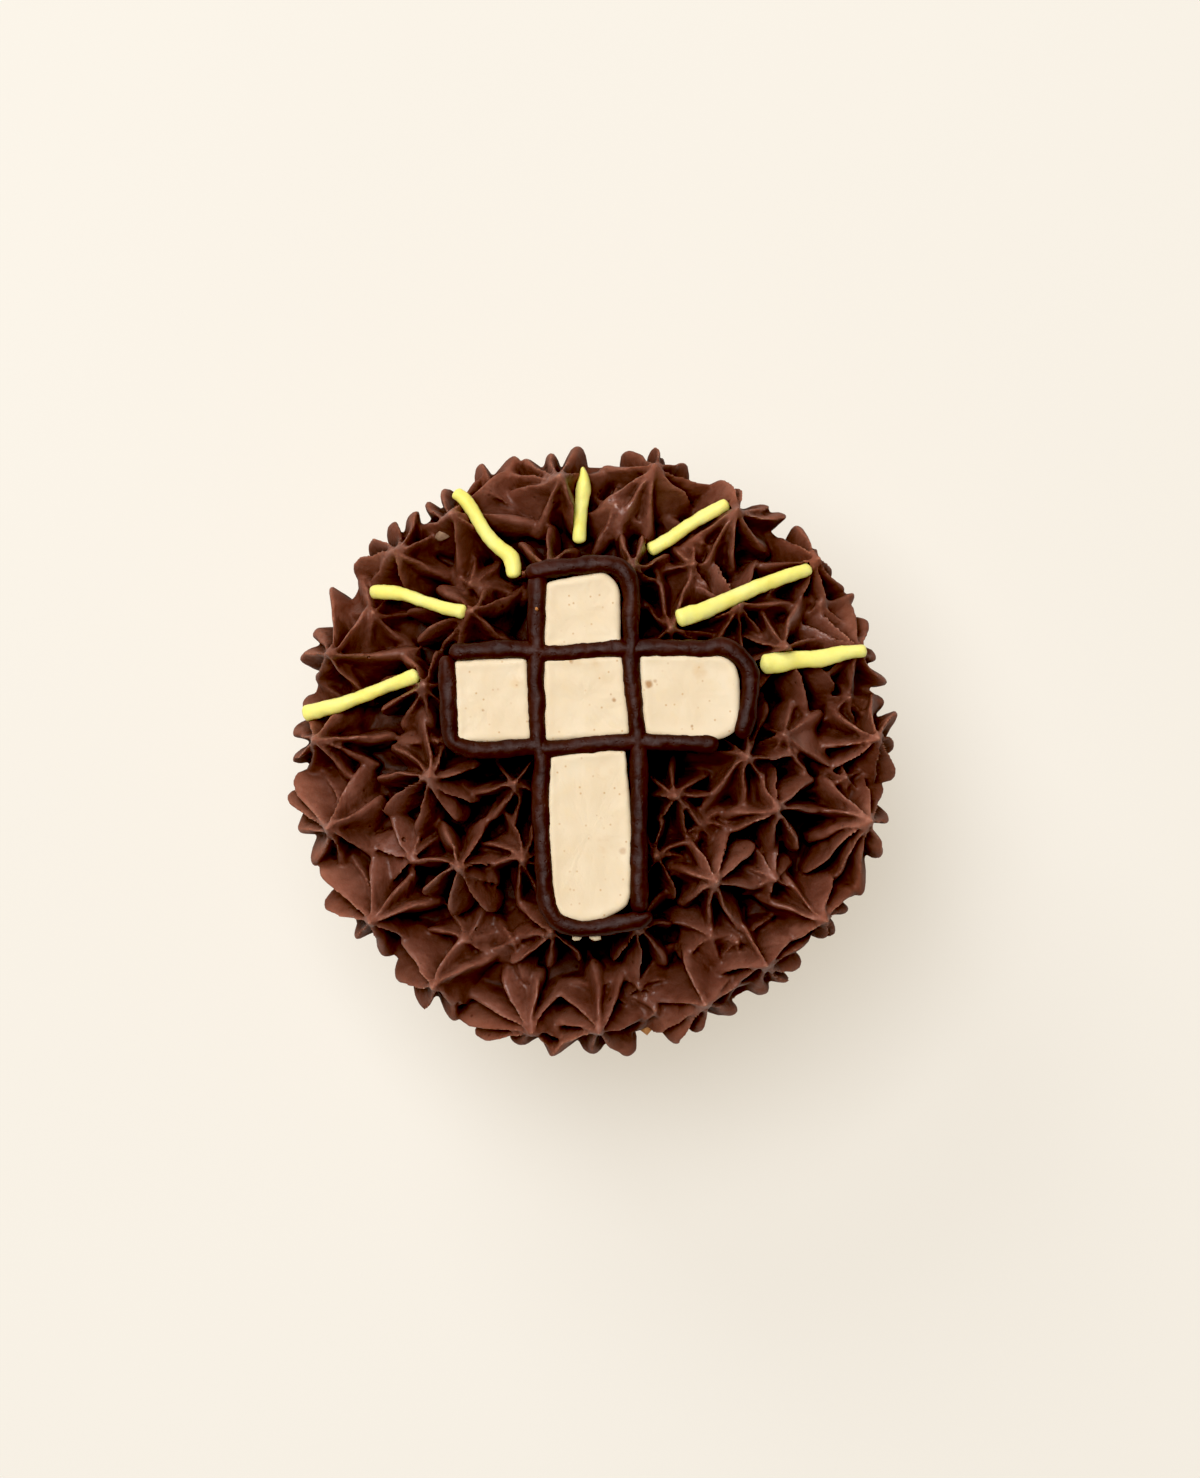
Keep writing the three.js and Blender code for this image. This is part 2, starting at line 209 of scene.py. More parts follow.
class Mat:
    """A node material under construction."""

    def __init__(self, name):
        self.m = bpy.data.materials.new(name)
        self.m.use_nodes = True
        self.t = self.m.node_tree
        self.t.nodes.clear()
        self.out = self.node("ShaderNodeOutputMaterial")
        self.b = self.node("ShaderNodeBsdfPrincipled")
        self.link(self.b.outputs["BSDF"], self.out.inputs["Surface"])
        self.co = self.node("ShaderNodeTexCoord").outputs["Object"]

    def node(self, kind, **props):
        n = self.t.nodes.new(kind)
        for k, v in props.items():
            setattr(n, k, v)
        return n

    def link(self, a, b):
        self.t.links.new(a, b)

    def noise(self, scale, detail=3.0, rough=0.5, distortion=0.0, stretch=None):
        n = self.node("ShaderNodeTexNoise")
        n.inputs["Scale"].default_value = scale
        n.inputs["Detail"].default_value = detail
        n.inputs["Roughness"].default_value = rough
        n.inputs["Distortion"].default_value = distortion
        co = self.co
        if stretch:
            mp = self.node("ShaderNodeMapping")
            mp.inputs["Scale"].default_value = stretch
            self.link(self.co, mp.inputs["Vector"])
            co = mp.outputs["Vector"]
        self.link(co, n.inputs["Vector"])
        return n.outputs["Fac"]

    def voronoi(self, scale, feature="F1", randomness=1.0, dims="3D"):
        n = self.node("ShaderNodeTexVoronoi", feature=feature, voronoi_dimensions=dims)
        n.inputs["Scale"].default_value = scale
        n.inputs["Randomness"].default_value = randomness
        self.link(self.co, n.inputs["Vector"])
        return n.outputs["Distance"]

    def ramp(self, fac, stops, interpolation="LINEAR"):
        n = self.node("ShaderNodeValToRGB")
        n.color_ramp.interpolation = interpolation
        els = n.color_ramp.elements
        while len(els) > 1:
            els.remove(els[-1])
        els[0].position, els[0].color = stops[0][0], stops[0][1]
        for pos, col in stops[1:]:
            e = els.new(pos)
            e.color = col
        self.link(fac, n.inputs["Fac"])
        return n.outputs["Color"]

    def value(self, fac, lo, hi, a=0.0, b=1.0):
        """Map fac from lo..hi to a..b, clamped."""
        n = self.node("ShaderNodeMapRange")
        n.clamp = True
        n.inputs["From Min"].default_value = lo
        n.inputs["From Max"].default_value = hi
        n.inputs["To Min"].default_value = a
        n.inputs["To Max"].default_value = b
        self.link(fac, n.inputs["Value"])
        return n.outputs["Result"]

    def mix(self, fac, a, b, mode="MIX"):
        n = self.node("ShaderNodeMix", data_type="RGBA", blend_type=mode)
        for sock, v in ((n.inputs[0], fac), (n.inputs[6], a), (n.inputs[7], b)):
            if isinstance(v, (int, float, tuple)):
                sock.default_value = v
            else:
                self.link(v, sock)
        return n.outputs[2]

    def math(self, op, a, b=0.0):
        n = self.node("ShaderNodeMath", operation=op)
        for sock, v in ((n.inputs[0], a), (n.inputs[1], b)):
            if isinstance(v, (int, float)):
                sock.default_value = v
            else:
                self.link(v, sock)
        return n.outputs[0]

    def bump(self, height, strength, distance, normal=None):
        n = self.node("ShaderNodeBump")
        n.inputs["Strength"].default_value = strength
        n.inputs["Distance"].default_value = distance
        self.link(height, n.inputs["Height"])
        if normal is not None:
            self.link(normal, n.inputs["Normal"])
        return n.outputs["Normal"]

    def set(self, **kw):
        for k, v in kw.items():
            sock = self.b.inputs[k.replace("_", " ")]
            if isinstance(v, (int, float, tuple)):
                sock.default_value = v
            else:
                self.link(v, sock)
        return self


def frosting_material():
    m = Mat("frosting_chocolate")
    broad = m.noise(150.0, 2.0, 0.5)
    fine = m.noise(900.0, 4.0, 0.6)
    grain = m.noise(3400.0, 3.0, 0.6)
    base = m.ramp(broad, [(0.30, srgb(118, 70, 55)), (0.52, srgb(130, 81, 65)), (0.72, srgb(142, 92, 75))])
    tone = m.ramp(fine, [(0.30, (0.84, 0.82, 0.80, 1)), (0.55, (1, 1, 1, 1)), (0.75, (1.08, 1.10, 1.13, 1))])
    base = m.mix(1.0, base, tone, "MULTIPLY")
    # fine pits of beaten-in air: bumped in, and painted near-black as shade inside them
    pits = m.voronoi(620.0)
    pit = m.value(pits, 0.05, 0.16, 0.0, 1.0)
    pit2 = m.math("MAXIMUM", pit, m.value(broad, 0.45, 0.60, 1.0, 0.0))
    base = m.mix(m.math("MULTIPLY", m.math("SUBTRACT", 1.0, pit2), 0.55), base, srgb(40, 12, 6))
    # painted shade down in the creases, by how much sky each point sees, and a little painted light on the open tops
    free = m.node("ShaderNodeAttribute", attribute_name="open").outputs["Fac"]
    deep = m.value(free, 0.22, 0.97, 0.22, 1.20)
    base = m.mix(1.0, base, deep, "MULTIPLY")
    # painted highlight along the thin rib crests, stronger where they are open to the sky
    rib = m.node("ShaderNodeAttribute", attribute_name="ridge").outputs["Fac"]
    base = m.mix(m.math("MULTIPLY", m.value(rib, 0.16, 0.55, 0.0, 0.62), m.value(free, 0.35, 0.8, 0.2, 1.0)), base, srgb(184, 130, 105))
    # the outer faces are duller; their colour is also made a little lighter and greyer, a painted sheen in place of the
    # gloss taken off them
    flat = m.node("ShaderNodeVectorMath", operation="MULTIPLY")
    flat.inputs[1].default_value = (1.0, 1.0, 0.0)
    m.link(m.co, flat.inputs[0])
    far = m.node("ShaderNodeVectorMath", operation="LENGTH")
    m.link(flat.outputs["Vector"], far.inputs[0])
    rim = m.value(far.outputs["Value"], 0.0325, 0.0365, 0.0, 1.0)
    m.set(Base_Color=m.mix(1.0, base, m.ramp(rim, [(0.0, (1, 1, 1, 1)), (1.0, (1.16, 1.13, 1.08, 1))]), "MULTIPLY"))
    m.set(Roughness=m.math("ADD", m.value(fine, 0.3, 0.7, 0.33, 0.47), m.math("MULTIPLY", rim, 0.18)))
    # no mirror image of a stick in the face beside it
    away = m.node("ShaderNodeAttribute", attribute_name="away").outputs["Fac"]
    gloss = m.math("MULTIPLY", m.value(rim, 0.0, 1.0, 0.95, 0.15), m.value(free, 0.45, 0.95, 0.08, 1.0))
    m.set(Specular_IOR_Level=0.6, IOR=1.46)
    m.set(Specular_IOR_Level=m.math("MULTIPLY", gloss, m.value(away, 0.0, 1.0, 0.04, 1.0)))
    m.set(Subsurface_Weight=0.25, Subsurface_Radius=(0.0009, 0.00045, 0.0003), Subsurface_Scale=1.0)
    n = m.bump(fine, 0.42, 0.0004)
    n = m.bump(grain, 0.30, 0.00012, n)
    n = m.bump(pit2, 0.35, 0.00018, n)
    m.set(Normal=n)
    return m.m


def chocolate_material():
    m = Mat("outline_chocolate")
    broad = m.noise(240.0, 3.0, 0.55)
    streak = m.noise(1100.0, 5.0, 0.62)
    bub = m.voronoi(1500.0)
    base = m.ramp(broad, [(0.28, srgb(44, 17, 11)), (0.5, srgb(54, 22, 14)), (0.75, srgb(68, 31, 21))])
    # lighter streaks along the line: painted highlight streaks
    base = m.mix(m.value(streak, 0.54, 0.80, 0.0, 0.16), base, srgb(98, 54, 40))
    m.set(Base_Color=base)
    m.set(Roughness=m.value(streak, 0.3, 0.7, 0.40, 0.56))
    m.set(Specular_IOR_Level=0.24, IOR=1.46)
    n = m.bump(streak, 0.45, 0.00024)
    n = m.bump(m.value(bub, 0.05, 0.25, 0.0, 1.0), 0.35, 0.00014, n)
    m.set(Normal=n)
    return m.m


def cream_material():
    m = Mat("cell_cream")
    broad = m.noise(140.0, 3.0, 0.5)
    mott = m.noise(420.0, 4.0, 0.6)
    base = m.ramp(broad, [(0.30, srgb(231, 208, 172)), (0.55, srgb(235, 214, 180)), (0.75, srgb(240, 222, 192))])
    base = m.mix(m.value(mott, 0.55, 0.75, 0.0, 0.35), base, srgb(240, 214, 168))
    # vanilla specks: fine ones everywhere, a few broad pale-brown ones
    v1 = m.voronoi(430.0, dims="2D")
    gate1 = m.value(m.noise(330.0, 2.0, 0.5), 0.38, 0.58, 0.0, 1.0)
    s1 = m.math("MULTIPLY", m.value(v1, 0.030, 0.075, 1.0, 0.0), gate1)
    v2 = m.voronoi(170.0)
    s2 = m.math("MULTIPLY", m.value(v2, 0.10, 0.22, 1.0, 0.0), m.value(mott, 0.42, 0.60, 0.0, 1.0))
    base = m.mix(m.math("MULTIPLY", s1, 0.70), base, srgb(200, 154, 94))
    base = m.mix(m.math("MULTIPLY", s2, 0.50), base, srgb(214, 176, 122))
    # a few larger flecks of vanilla: place and size in mm
    flat = m.node("ShaderNodeVectorMath", operation="MULTIPLY")
    flat.inputs[1].default_value = (1.0, 1.0, 0.0)
    m.link(m.co, flat.inputs[0])
    wob = m.math("MULTIPLY", m.noise(1600.0, 3.0, 0.6), 0.00040)
    for px, py, size, strength in ((649, 684, 0.62, 0.9), (614, 700, 0.42, 0.8), (571, 661, 0.42, 0.75), (623, 851, 0.60, 0.45),
                                   (483, 710, 0.34, 0.7), (517, 685, 0.30, 0.75), (692, 726, 0.32, 0.8), (655, 681, 0.40, 0.5),
                                   (597, 815, 0.22, 0.75), (611, 694, 0.26, 0.7), (585, 626, 0.20, 0.7)):
        x, y = P(px, py, 58.0)
        d = m.node("ShaderNodeVectorMath", operation="DISTANCE")
        d.inputs[1].default_value = (x * MM, y * MM, 0.0)
        m.link(flat.outputs["Vector"], d.inputs[0])
        r = m.math("ADD", d.outputs["Value"], wob)
        base = m.mix(m.value(r, size * MM * 0.75, size * MM * 1.35, strength, 0.0), base, srgb(180, 132, 80))
    m.set(Base_Color=base)
    m.set(Roughness=m.value(mott, 0.3, 0.7, 0.42, 0.56))
    m.set(Specular_IOR_Level=0.38, IOR=1.45, Subsurface_Weight=0.12, Subsurface_Radius=(0.0012, 0.0009, 0.0006), Subsurface_Scale=1.0)
    n = m.bump(mott, 0.18, 0.00025)
    n = m.bump(m.noise(2400.0, 3.0, 0.6), 0.12, 0.00008, n)
    m.set(Normal=n)
    return m.m


def yellow_material():
    m = Mat("stick_yellow")
    broad = m.noise(220.0, 3.0, 0.55)
    fine = m.noise(1500.0, 4.0, 0.6)
    base = m.ramp(broad, [(0.28, srgb(255, 237, 112)), (0.52, srgb(255, 244, 138)), (0.76, srgb(255, 248, 160))])
    base = m.mix(m.value(fine, 0.56, 0.75, 0.0, 0.35), base, srgb(250, 228, 96))
    m.set(Base_Color=base)
    m.set(Roughness=m.value(fine, 0.3, 0.7, 0.40, 0.58))
    m.set(Specular_IOR_Level=0.4, IOR=1.45, Subsurface_Weight=0.18, Subsurface_Radius=(0.0014, 0.0009, 0.0003), Subsurface_Scale=1.0)
    n = m.bump(fine, 0.25, 0.00014)
    m.set(Normal=n)
    return m.m


def flake_material():
    m = Mat("crumb_baked")
    crumb = m.noise(1100.0, 5.0, 0.7)
    m.set(Base_Color=m.ramp(crumb, [(0.30, srgb(112, 82, 62)), (0.52, srgb(142, 112, 88)), (0.75, srgb(170, 140, 112))]))
    m.set(Roughness=m.value(crumb, 0.3, 0.7, 0.6, 0.8), Specular_IOR_Level=0.25)
    m.set(Normal=m.bump(crumb, 0.5, 0.0003))
    return m.m


def paper_material():
    m = Mat("case_paper")
    fibre = m.noise(1300.0, 5.0, 0.65, 0.4)
    broad = m.noise(60.0, 3.0, 0.5)
    soak = m.noise(34.0, 4.0, 0.6, 0.5)
    base = m.ramp(fibre, [(0.30, srgb(176, 132, 86)), (0.52, srgb(190, 147, 100)), (0.75, srgb(204, 164, 118))])
    base = m.mix(m.value(soak, 0.42, 0.66, 0.0, 0.40), base, srgb(158, 112, 68))
    base = m.mix(m.value(broad, 0.50, 0.70, 0.0, 0.25), base, srgb(212, 176, 134))
    m.set(Base_Color=base)
    m.set(Roughness=m.value(fibre, 0.3, 0.7, 0.70, 0.86))
    m.set(Specular_IOR_Level=0.25)
    n = m.bump(fibre, 0.35, 0.00016)
    n = m.bump(m.noise(300.0, 3.0, 0.5), 0.25, 0.0004, n)
    m.set(Normal=n)
    return m.m


def sponge_material():
    m = Mat("cake_sponge")
    crumb = m.noise(900.0, 5.0, 0.7)
    broad = m.noise(150.0, 3.0, 0.5)
    # holes in the crumb: bumped in, and painted darker as shade inside them
    holes = m.voronoi(760.0)
    hole = m.value(holes, 0.10, 0.34, 0.0, 1.0)
    base = m.ramp(crumb, [(0.30, srgb(178, 108, 60)), (0.52, srgb(214, 148, 92)), (0.75, srgb(233, 180, 124))])
    base = m.mix(m.value(broad, 0.45, 0.68, 0.0, 0.45), base, srgb(176, 116, 58))
    base = m.mix(m.math("MULTIPLY", m.math("SUBTRACT", 1.0, hole), 0.55), base, srgb(128, 78, 36))
    m.set(Base_Color=base, Roughness=0.86, Specular_IOR_Level=0.2)
    n = m.bump(crumb, 0.55, 0.0005)
    n = m.bump(hole, 0.5, 0.0004, n)
    m.set(Normal=n)
    return m.m


# ------------------------------------------------------------------ frosting
CAKE_TOP, CAKE_EDGE = 43.6, 40.2
PLAQUE_Z = 57.45          # middle of the beads that outline the cross


def dome_z(r):
    """Top of the sponge."""
    return CAKE_EDGE + (CAKE_TOP - CAKE_EDGE) * (1 - min(1.0, r / 34.6) ** 2.1)


def core_z(r):
    """Height that the feet of the stars are measured from."""
    return 50.0 - 1.2 * (r / 20.0) ** 2 - 5.4 * (max(0.0, r - 16.0) / 19.0) ** 1.7


def bed_z(r):
    """Height of the frosting bed under the stars."""
    return max(core_z(r) - 5.0, dome_z(r) + 0.35)


CREST = [  # height / star height, crest radius / foot radius
    (-0.30, 0.74), (-0.15, 0.85), (-0.04, 0.93), (0.05, 0.975), (0.13, 1.0), (0.21, 0.995), (0.30, 0.935), (0.39, 0.83),
    (0.48, 0.69), (0.57, 0.55), (0.66, 0.415), (0.74, 0.30), (0.82, 0.195), (0.89, 0.115), (0.95, 0.055),
    (0.98, 0.030), (1.0, 0.014),
]
LEVELS = [-0.30, -0.14, -0.03, 0.05, 0.10, 0.145, 0.19, 0.235, 0.28, 0.325, 0.37, 0.42, 0.47, 0.52, 0.575,
          0.63, 0.685, 0.74, 0.79, 0.84, 0.885, 0.93, 0.965, 1.0]
DEPTH = [(0.0, 0.50), (0.1, 0.57), (0.2, 0.66), (0.3, 0.75), (0.4, 0.82), (0.5, 0.87), (0.65, 0.91), (0.8, 0.91),
         (0.92, 0.80), (1.0, 0.4)]
FIN_STEPS = [0.0, 0.045, 0.10, 0.19, 0.33, 0.53, 0.77]  # crest to valley


def star_rings(at, azimuth, tilt, fins, R, H, twist, bend, rng, outer=0.0, depth=1.0):
    """One piped star. fins: list of (angle, length factor) in the foot plane, crest directions.
    Returns rings of points in mm and the two end points."""
    fins = sorted(((a % (2 * math.pi)), f) for a, f in fins)
    n = len(fins)
    skew = rng.choice((-1, 1)) * rng.uniform(0.17, 0.32)
    samples = []   # (theta, s, side fin, neighbour fin, gap, steepness, angle from crest to valley)
    for i in range(n):
        a, f = fins[i]
        b, g = fins[(i + 1) % n]
        if i == n - 1:
            b += 2 * math.pi
        mid = lerp(a, b, 0.5 + skew + rng.uniform(-0.06, 0.06))
        near, far_ = (0.0, 1.0) if skew > 0 else (1.0, 0.0)   # 1 on the steep side of a rib
        for s in FIN_STEPS:
            samples.append((lerp(a, mid, s), s, i, (i + 1) % n, i, near, mid - a))
        samples.append((mid, 1.0, i, (i + 1) % n, i, 0.5, mid - a))
        for s in reversed(FIN_STEPS[1:]):
            samples.append((lerp(b, mid, s), s, (i + 1) % n, i, i, far_, b - mid))
    # each fin's own small differences
    lean = [rng.uniform(-0.13, 0.13) for _ in range(n)]
    rise = [rng.uniform(-0.085, 0.085) for _ in range(n)]
    deep = [rng.choice((rng.uniform(0.68, 0.86), rng.uniform(0.96, 1.10))) for _ in range(n)]
    thick = [rng.uniform(0.80, 1.30) * (1 + 0.40 * outer * smooth(0.0, 0.8, math.cos(a))) for a, f in fins]
    wave = [rng.uniform(0, 6.28) for _ in range(n)]
    seed = Vector((rng.uniform(0, 90), rng.uniform(0, 90), rng.uniform(0, 90)))
    axis = Matrix.Rotation(azimuth, 3, "Z") @ Matrix.Rotation(tilt, 3, "Y")
    bend_dir = rng.uniform(0, 6.28)
    rings = []
    for t0 in LEVELS:
        t = max(0.0, t0)
        # half thickness of a fin in mm, and how blunt its section is: round fingers at the foot,
        # thin ribs with hollow webs between them further up
        body = (1.36 * (1.0 - t) ** 1.5 + 0.17) * min(1.0, R / 7.9)
        blunt = lerp(2.8, 1.6, smooth(0.10, 0.75, t0))
        d = table(DEPTH, t) * depth
        tw = twist * t ** 1.3
        off = bend * t * t
        ring = []
        for theta, s, i, j, gap, steep, wide in samples:
            half = 0.5 * s
            # the crest of a low fin is a little lower all the way up
            tt = t0 + lerp(rise[i], 0.5 * (rise[i] + rise[j]), s) * math.sin(math.pi * min(1.0, t * 1.15)) if t0 > 0 else t0
            pr = table(CREST, tt)
            span = wide * max(0.3, R * pr * fins[i][1]) / (body * thick[i] * lerp(1.15, 0.75, steep))
            g = (1.0 - (1.0 + (s * span) ** blunt) ** (-1.0 / blunt)) / (1.0 - (1.0 + span ** blunt) ** (-1.0 / blunt))
            out = outer * smooth(-0.2, 0.6, math.cos(theta))
            f = lerp(fins[i][1], 0.5 * (fins[i][1] + fins[j][1]), s ** 1.4)
            dd = d * deep[gap]
            dd -= out * smooth(0.45, 0.05, t) * 0.20
            r = R * pr * lerp(f, 1.0, 0.75 * smooth(0.30, 1.0, t)) * max(0.07, 1.0 - dd * g)
            a = theta + tw + lerp(lean[i], 0.5 * (lean[i] + lean[j]), s) * math.sin(2.6 * t + wave[i] * (1 - half) + wave[j] * half) * 0.9
            p = Vector((r * math.cos(a) + off * math.cos(bend_dir), r * math.sin(a) + off * math.sin(bend_dir), t0 * H))
            q = p * 0.34 + seed
            p += 0.34 * noise.noise_vector(q) * smooth(1.0, 0.80, t)
            p += 0.12 * noise.noise_vector(p * 0.95 + seed)
            p += 0.035 * noise.noise_vector(p * 3.1 + seed)
            p = axis @ p
            ring.append((p.x + at[0], p.y + at[1], p.z + at[2]))
        rings.append(ring)
    low = axis @ Vector((0, 0, -0.32 * H))
    tip = axis @ Vector((bend * math.cos(bend_dir), bend * math.sin(bend_dir), H * 1.015))
    low = (low.x + at[0], low.y + at[1], low.z + at[2])
    tip = (tip.x + at[0], tip.y + at[1], tip.z + at[2])
    return rings, low, tip


# Stars: tip in photo pixels, outward lean (degrees), size, and the ends of the crests that can
# be read in the photo. Where none are given the star gets evenly spread fins of its own.
RIM_LEAN, MID_LEAN, TOP_LEAN = 24, 12, 6
STARS = [
    # rim
    ((656, 466), RIM_LEAN, 1.0, [(598, 480), (598, 526), (615, 542), (650, 545), (688, 515), (718, 492), (688, 460), (664, 451), (652, 454), (620, 455)]),
    ((735, 509), RIM_LEAN, 1.0, [(675, 560), (700, 580), (726, 568), (765, 560), (786, 523), (772, 506), (738, 487), (716, 491)]),
    ((820, 558), RIM_LEAN, 0.98, [(768, 545), (738, 579), (758, 612), (788, 622), (822, 614), (848, 590), (843, 566), (812, 544), (791, 531)]),
    ((859, 652), RIM_LEAN, 0.97, [(790, 612), (772, 632), (842, 606), (860, 620), (882, 655), (884, 684), (842, 702), (808, 692), (788, 668)]),
    ((879, 741), RIM_LEAN, 1.0, [(822, 763), (864, 785), (894, 785), (895, 748), (893, 715), (868, 697), (828, 716), (805, 742)]),
    ((872, 821), RIM_LEAN, 1.02, [(847, 791), (814, 780), (808, 806), (806, 836), (804, 871), (830, 878), (856, 897), (882, 858), (886, 819), (877, 789)]),
    ((827, 922), RIM_LEAN, 1.0, [(766, 851), (748, 884), (776, 925), (812, 934), (829, 938), (843, 912), (854, 892), (822, 872)]),
    ((766, 969), RIM_LEAN, 1.0, [(726, 911), (779, 921), (805, 930), (800, 962), (791, 975), (770, 998), (722, 998), (711, 970)]),
    ((707, 1006), RIM_LEAN, 0.98, [(640, 986), (684, 950), (711, 973), (750, 975), (735, 1013), (699, 1035), (668, 1044), (650, 1022)]),
    ((601, 1031), RIM_LEAN, 1.04, [(595, 1060), (636, 1050), (555, 1052), (640, 1005), (622, 960), (590, 958), (566, 985), (556, 1018)]),
    ((530, 1033), RIM_LEAN, 0.95, [(474, 978), (506, 966), (543, 968), (564, 980), (568, 1034), (552, 1050), (508, 1045), (478, 1032), (462, 1012)]),
    ((432, 990), RIM_LEAN, 1.03, [(412, 924), (470, 930), (499, 952), (468, 998), (458, 1014), (419, 1004), (400, 966)]),
    ((372, 924), RIM_LEAN, 1.0, [(385, 853), (419, 868), (446, 899), (416, 930), (388, 950), (352, 936), (328, 894), (330, 862)]),
    ((326, 830), RIM_LEAN, 1.0, [(374, 765), (378, 808), (378, 849), (351, 857), (323, 863), (302, 829), (292, 790), (308, 773)]),
    ((312, 739), RIM_LEAN, 1.02, [(399, 738), (383, 764), (354, 766), (314, 770), (301, 758), (294, 733), (312, 700), (360, 706)]),
    ((328, 654), RIM_LEAN, 1.03, [(311, 632), (336, 595), (380, 611), (422, 649), (373, 686), (331, 684), (308, 667)]),
    ((394, 551), RIM_LEAN, 1.02, [(367, 550), (361, 579), (378, 592), (424, 600), (458, 580), (440, 540), (414, 520), (390, 521)]),
    ((453, 512), RIM_LEAN, 1.0, [(518, 475), (537, 533), (500, 562), (462, 578), (424, 530), (428, 503), (450, 494), (484, 486)]),
    ((557, 473), RIM_LEAN, 1.0, [(514, 473), (512, 497), (541, 534), (575, 535), (606, 480), (586, 443), (554, 449), (528, 461)]),
    # second ring
    ((473, 613), MID_LEAN, 1.0, [(488, 588), (526, 587), (503, 640), (470, 648), (446, 653), (424, 648), (408, 618), (440, 592)]),
    ((422, 687), MID_LEAN, 0.98, [(438, 658), (466, 680), (462, 712), (440, 732), (412, 730), (388, 716), (384, 684), (404, 660)]),
    ((429, 778), MID_LEAN, 1.02, [(419, 703), (449, 752), (481, 763), (480, 799), (466, 820), (426, 834), (391, 810), (383, 776), (398, 748)]),
    ((459, 866), MID_LEAN, 1.0, [(444, 822), (487, 818), (502, 852), (500, 875), (501, 905), (461, 912), (431, 893), (418, 859)]),
    ((551, 930), MID_LEAN, 0.98, [(513, 958), (547, 962), (578, 956), (519, 932), (530, 900), (560, 896), (588, 918)]),
    ((636, 930), MID_LEAN, 0.98, [(669, 957), (637, 976), (612, 957), (604, 926), (622, 900), (650, 898), (668, 920)]),
    ((714, 882), MID_LEAN, 1.04, [(686, 831), (724, 827), (750, 843), (760, 884), (736, 925), (711, 925), (682, 900), (662, 864)]),
    ((779, 810), MID_LEAN, 1.02, [(756, 770), (770, 768), (806, 778), (818, 811), (792, 848), (766, 850), (730, 828), (720, 815)]),
    ((751, 755), MID_LEAN, 0.96, []),
    ((789, 646), MID_LEAN, 0.92, []),
    ((742, 606), MID_LEAN, 0.92, []),
    ((673, 627), MID_LEAN, 0.9, [(656, 574), (700, 578), (752, 642), (720, 660), (680, 672), (650, 650), (640, 600)]),
    ((547, 565), MID_LEAN, 0.96, [(548, 530), (522, 548), (575, 552), (580, 585), (560, 606), (530, 604), (512, 580)]),
    ((636, 566), MID_LEAN, 0.9, [(616, 540), (640, 540), (668, 560), (664, 588), (640, 606), (616, 594), (604, 566)]),
    # under and beside the plaque
    ((515, 781), TOP_LEAN, 0.98, [(499, 755), (470, 785), (488, 818), (510, 832), (545, 800), (545, 760)]),
    ((676, 795), TOP_LEAN, 0.96, [(674, 750), (706, 776), (712, 800), (700, 832), (679, 838), (658, 812), (640, 788), (646, 768)]),
    ((591, 840), TOP_LEAN, 0.9, []),
    ((520, 700), TOP_LEAN, 0.9, []),
    ((665, 700), TOP_LEAN, 0.9, []),
    ((588, 750), TOP_LEAN, 0.88, []),
    ((591, 640), TOP_LEAN, 0.9, []),
    ((655, 856), TOP_LEAN, 0.8, []),
    ((522, 860), TOP_LEAN, 0.85, []),
]
STAR_R, STAR_H, STAR_SINK = 7.9, 10.6, 2.5
# small knobs of frosting squeezed up between the stars
KNOBS = [(375, 623), (412, 848), (487, 706), (520, 944), (482, 588), (616, 520), (690, 574), (720, 697), (704, 824),
         (762, 872), (784, 741), (816, 620), (846, 706), (704, 930), (642, 978), (352, 700), (470, 935), (350, 800),
         (585, 905), (700, 545), (440, 735), (600, 985), (498, 498), (738, 938), (652, 1002), (372, 888), (840, 780)]

UNDER = [(478, 697), (712, 697), (588, 602), (590, 884)]


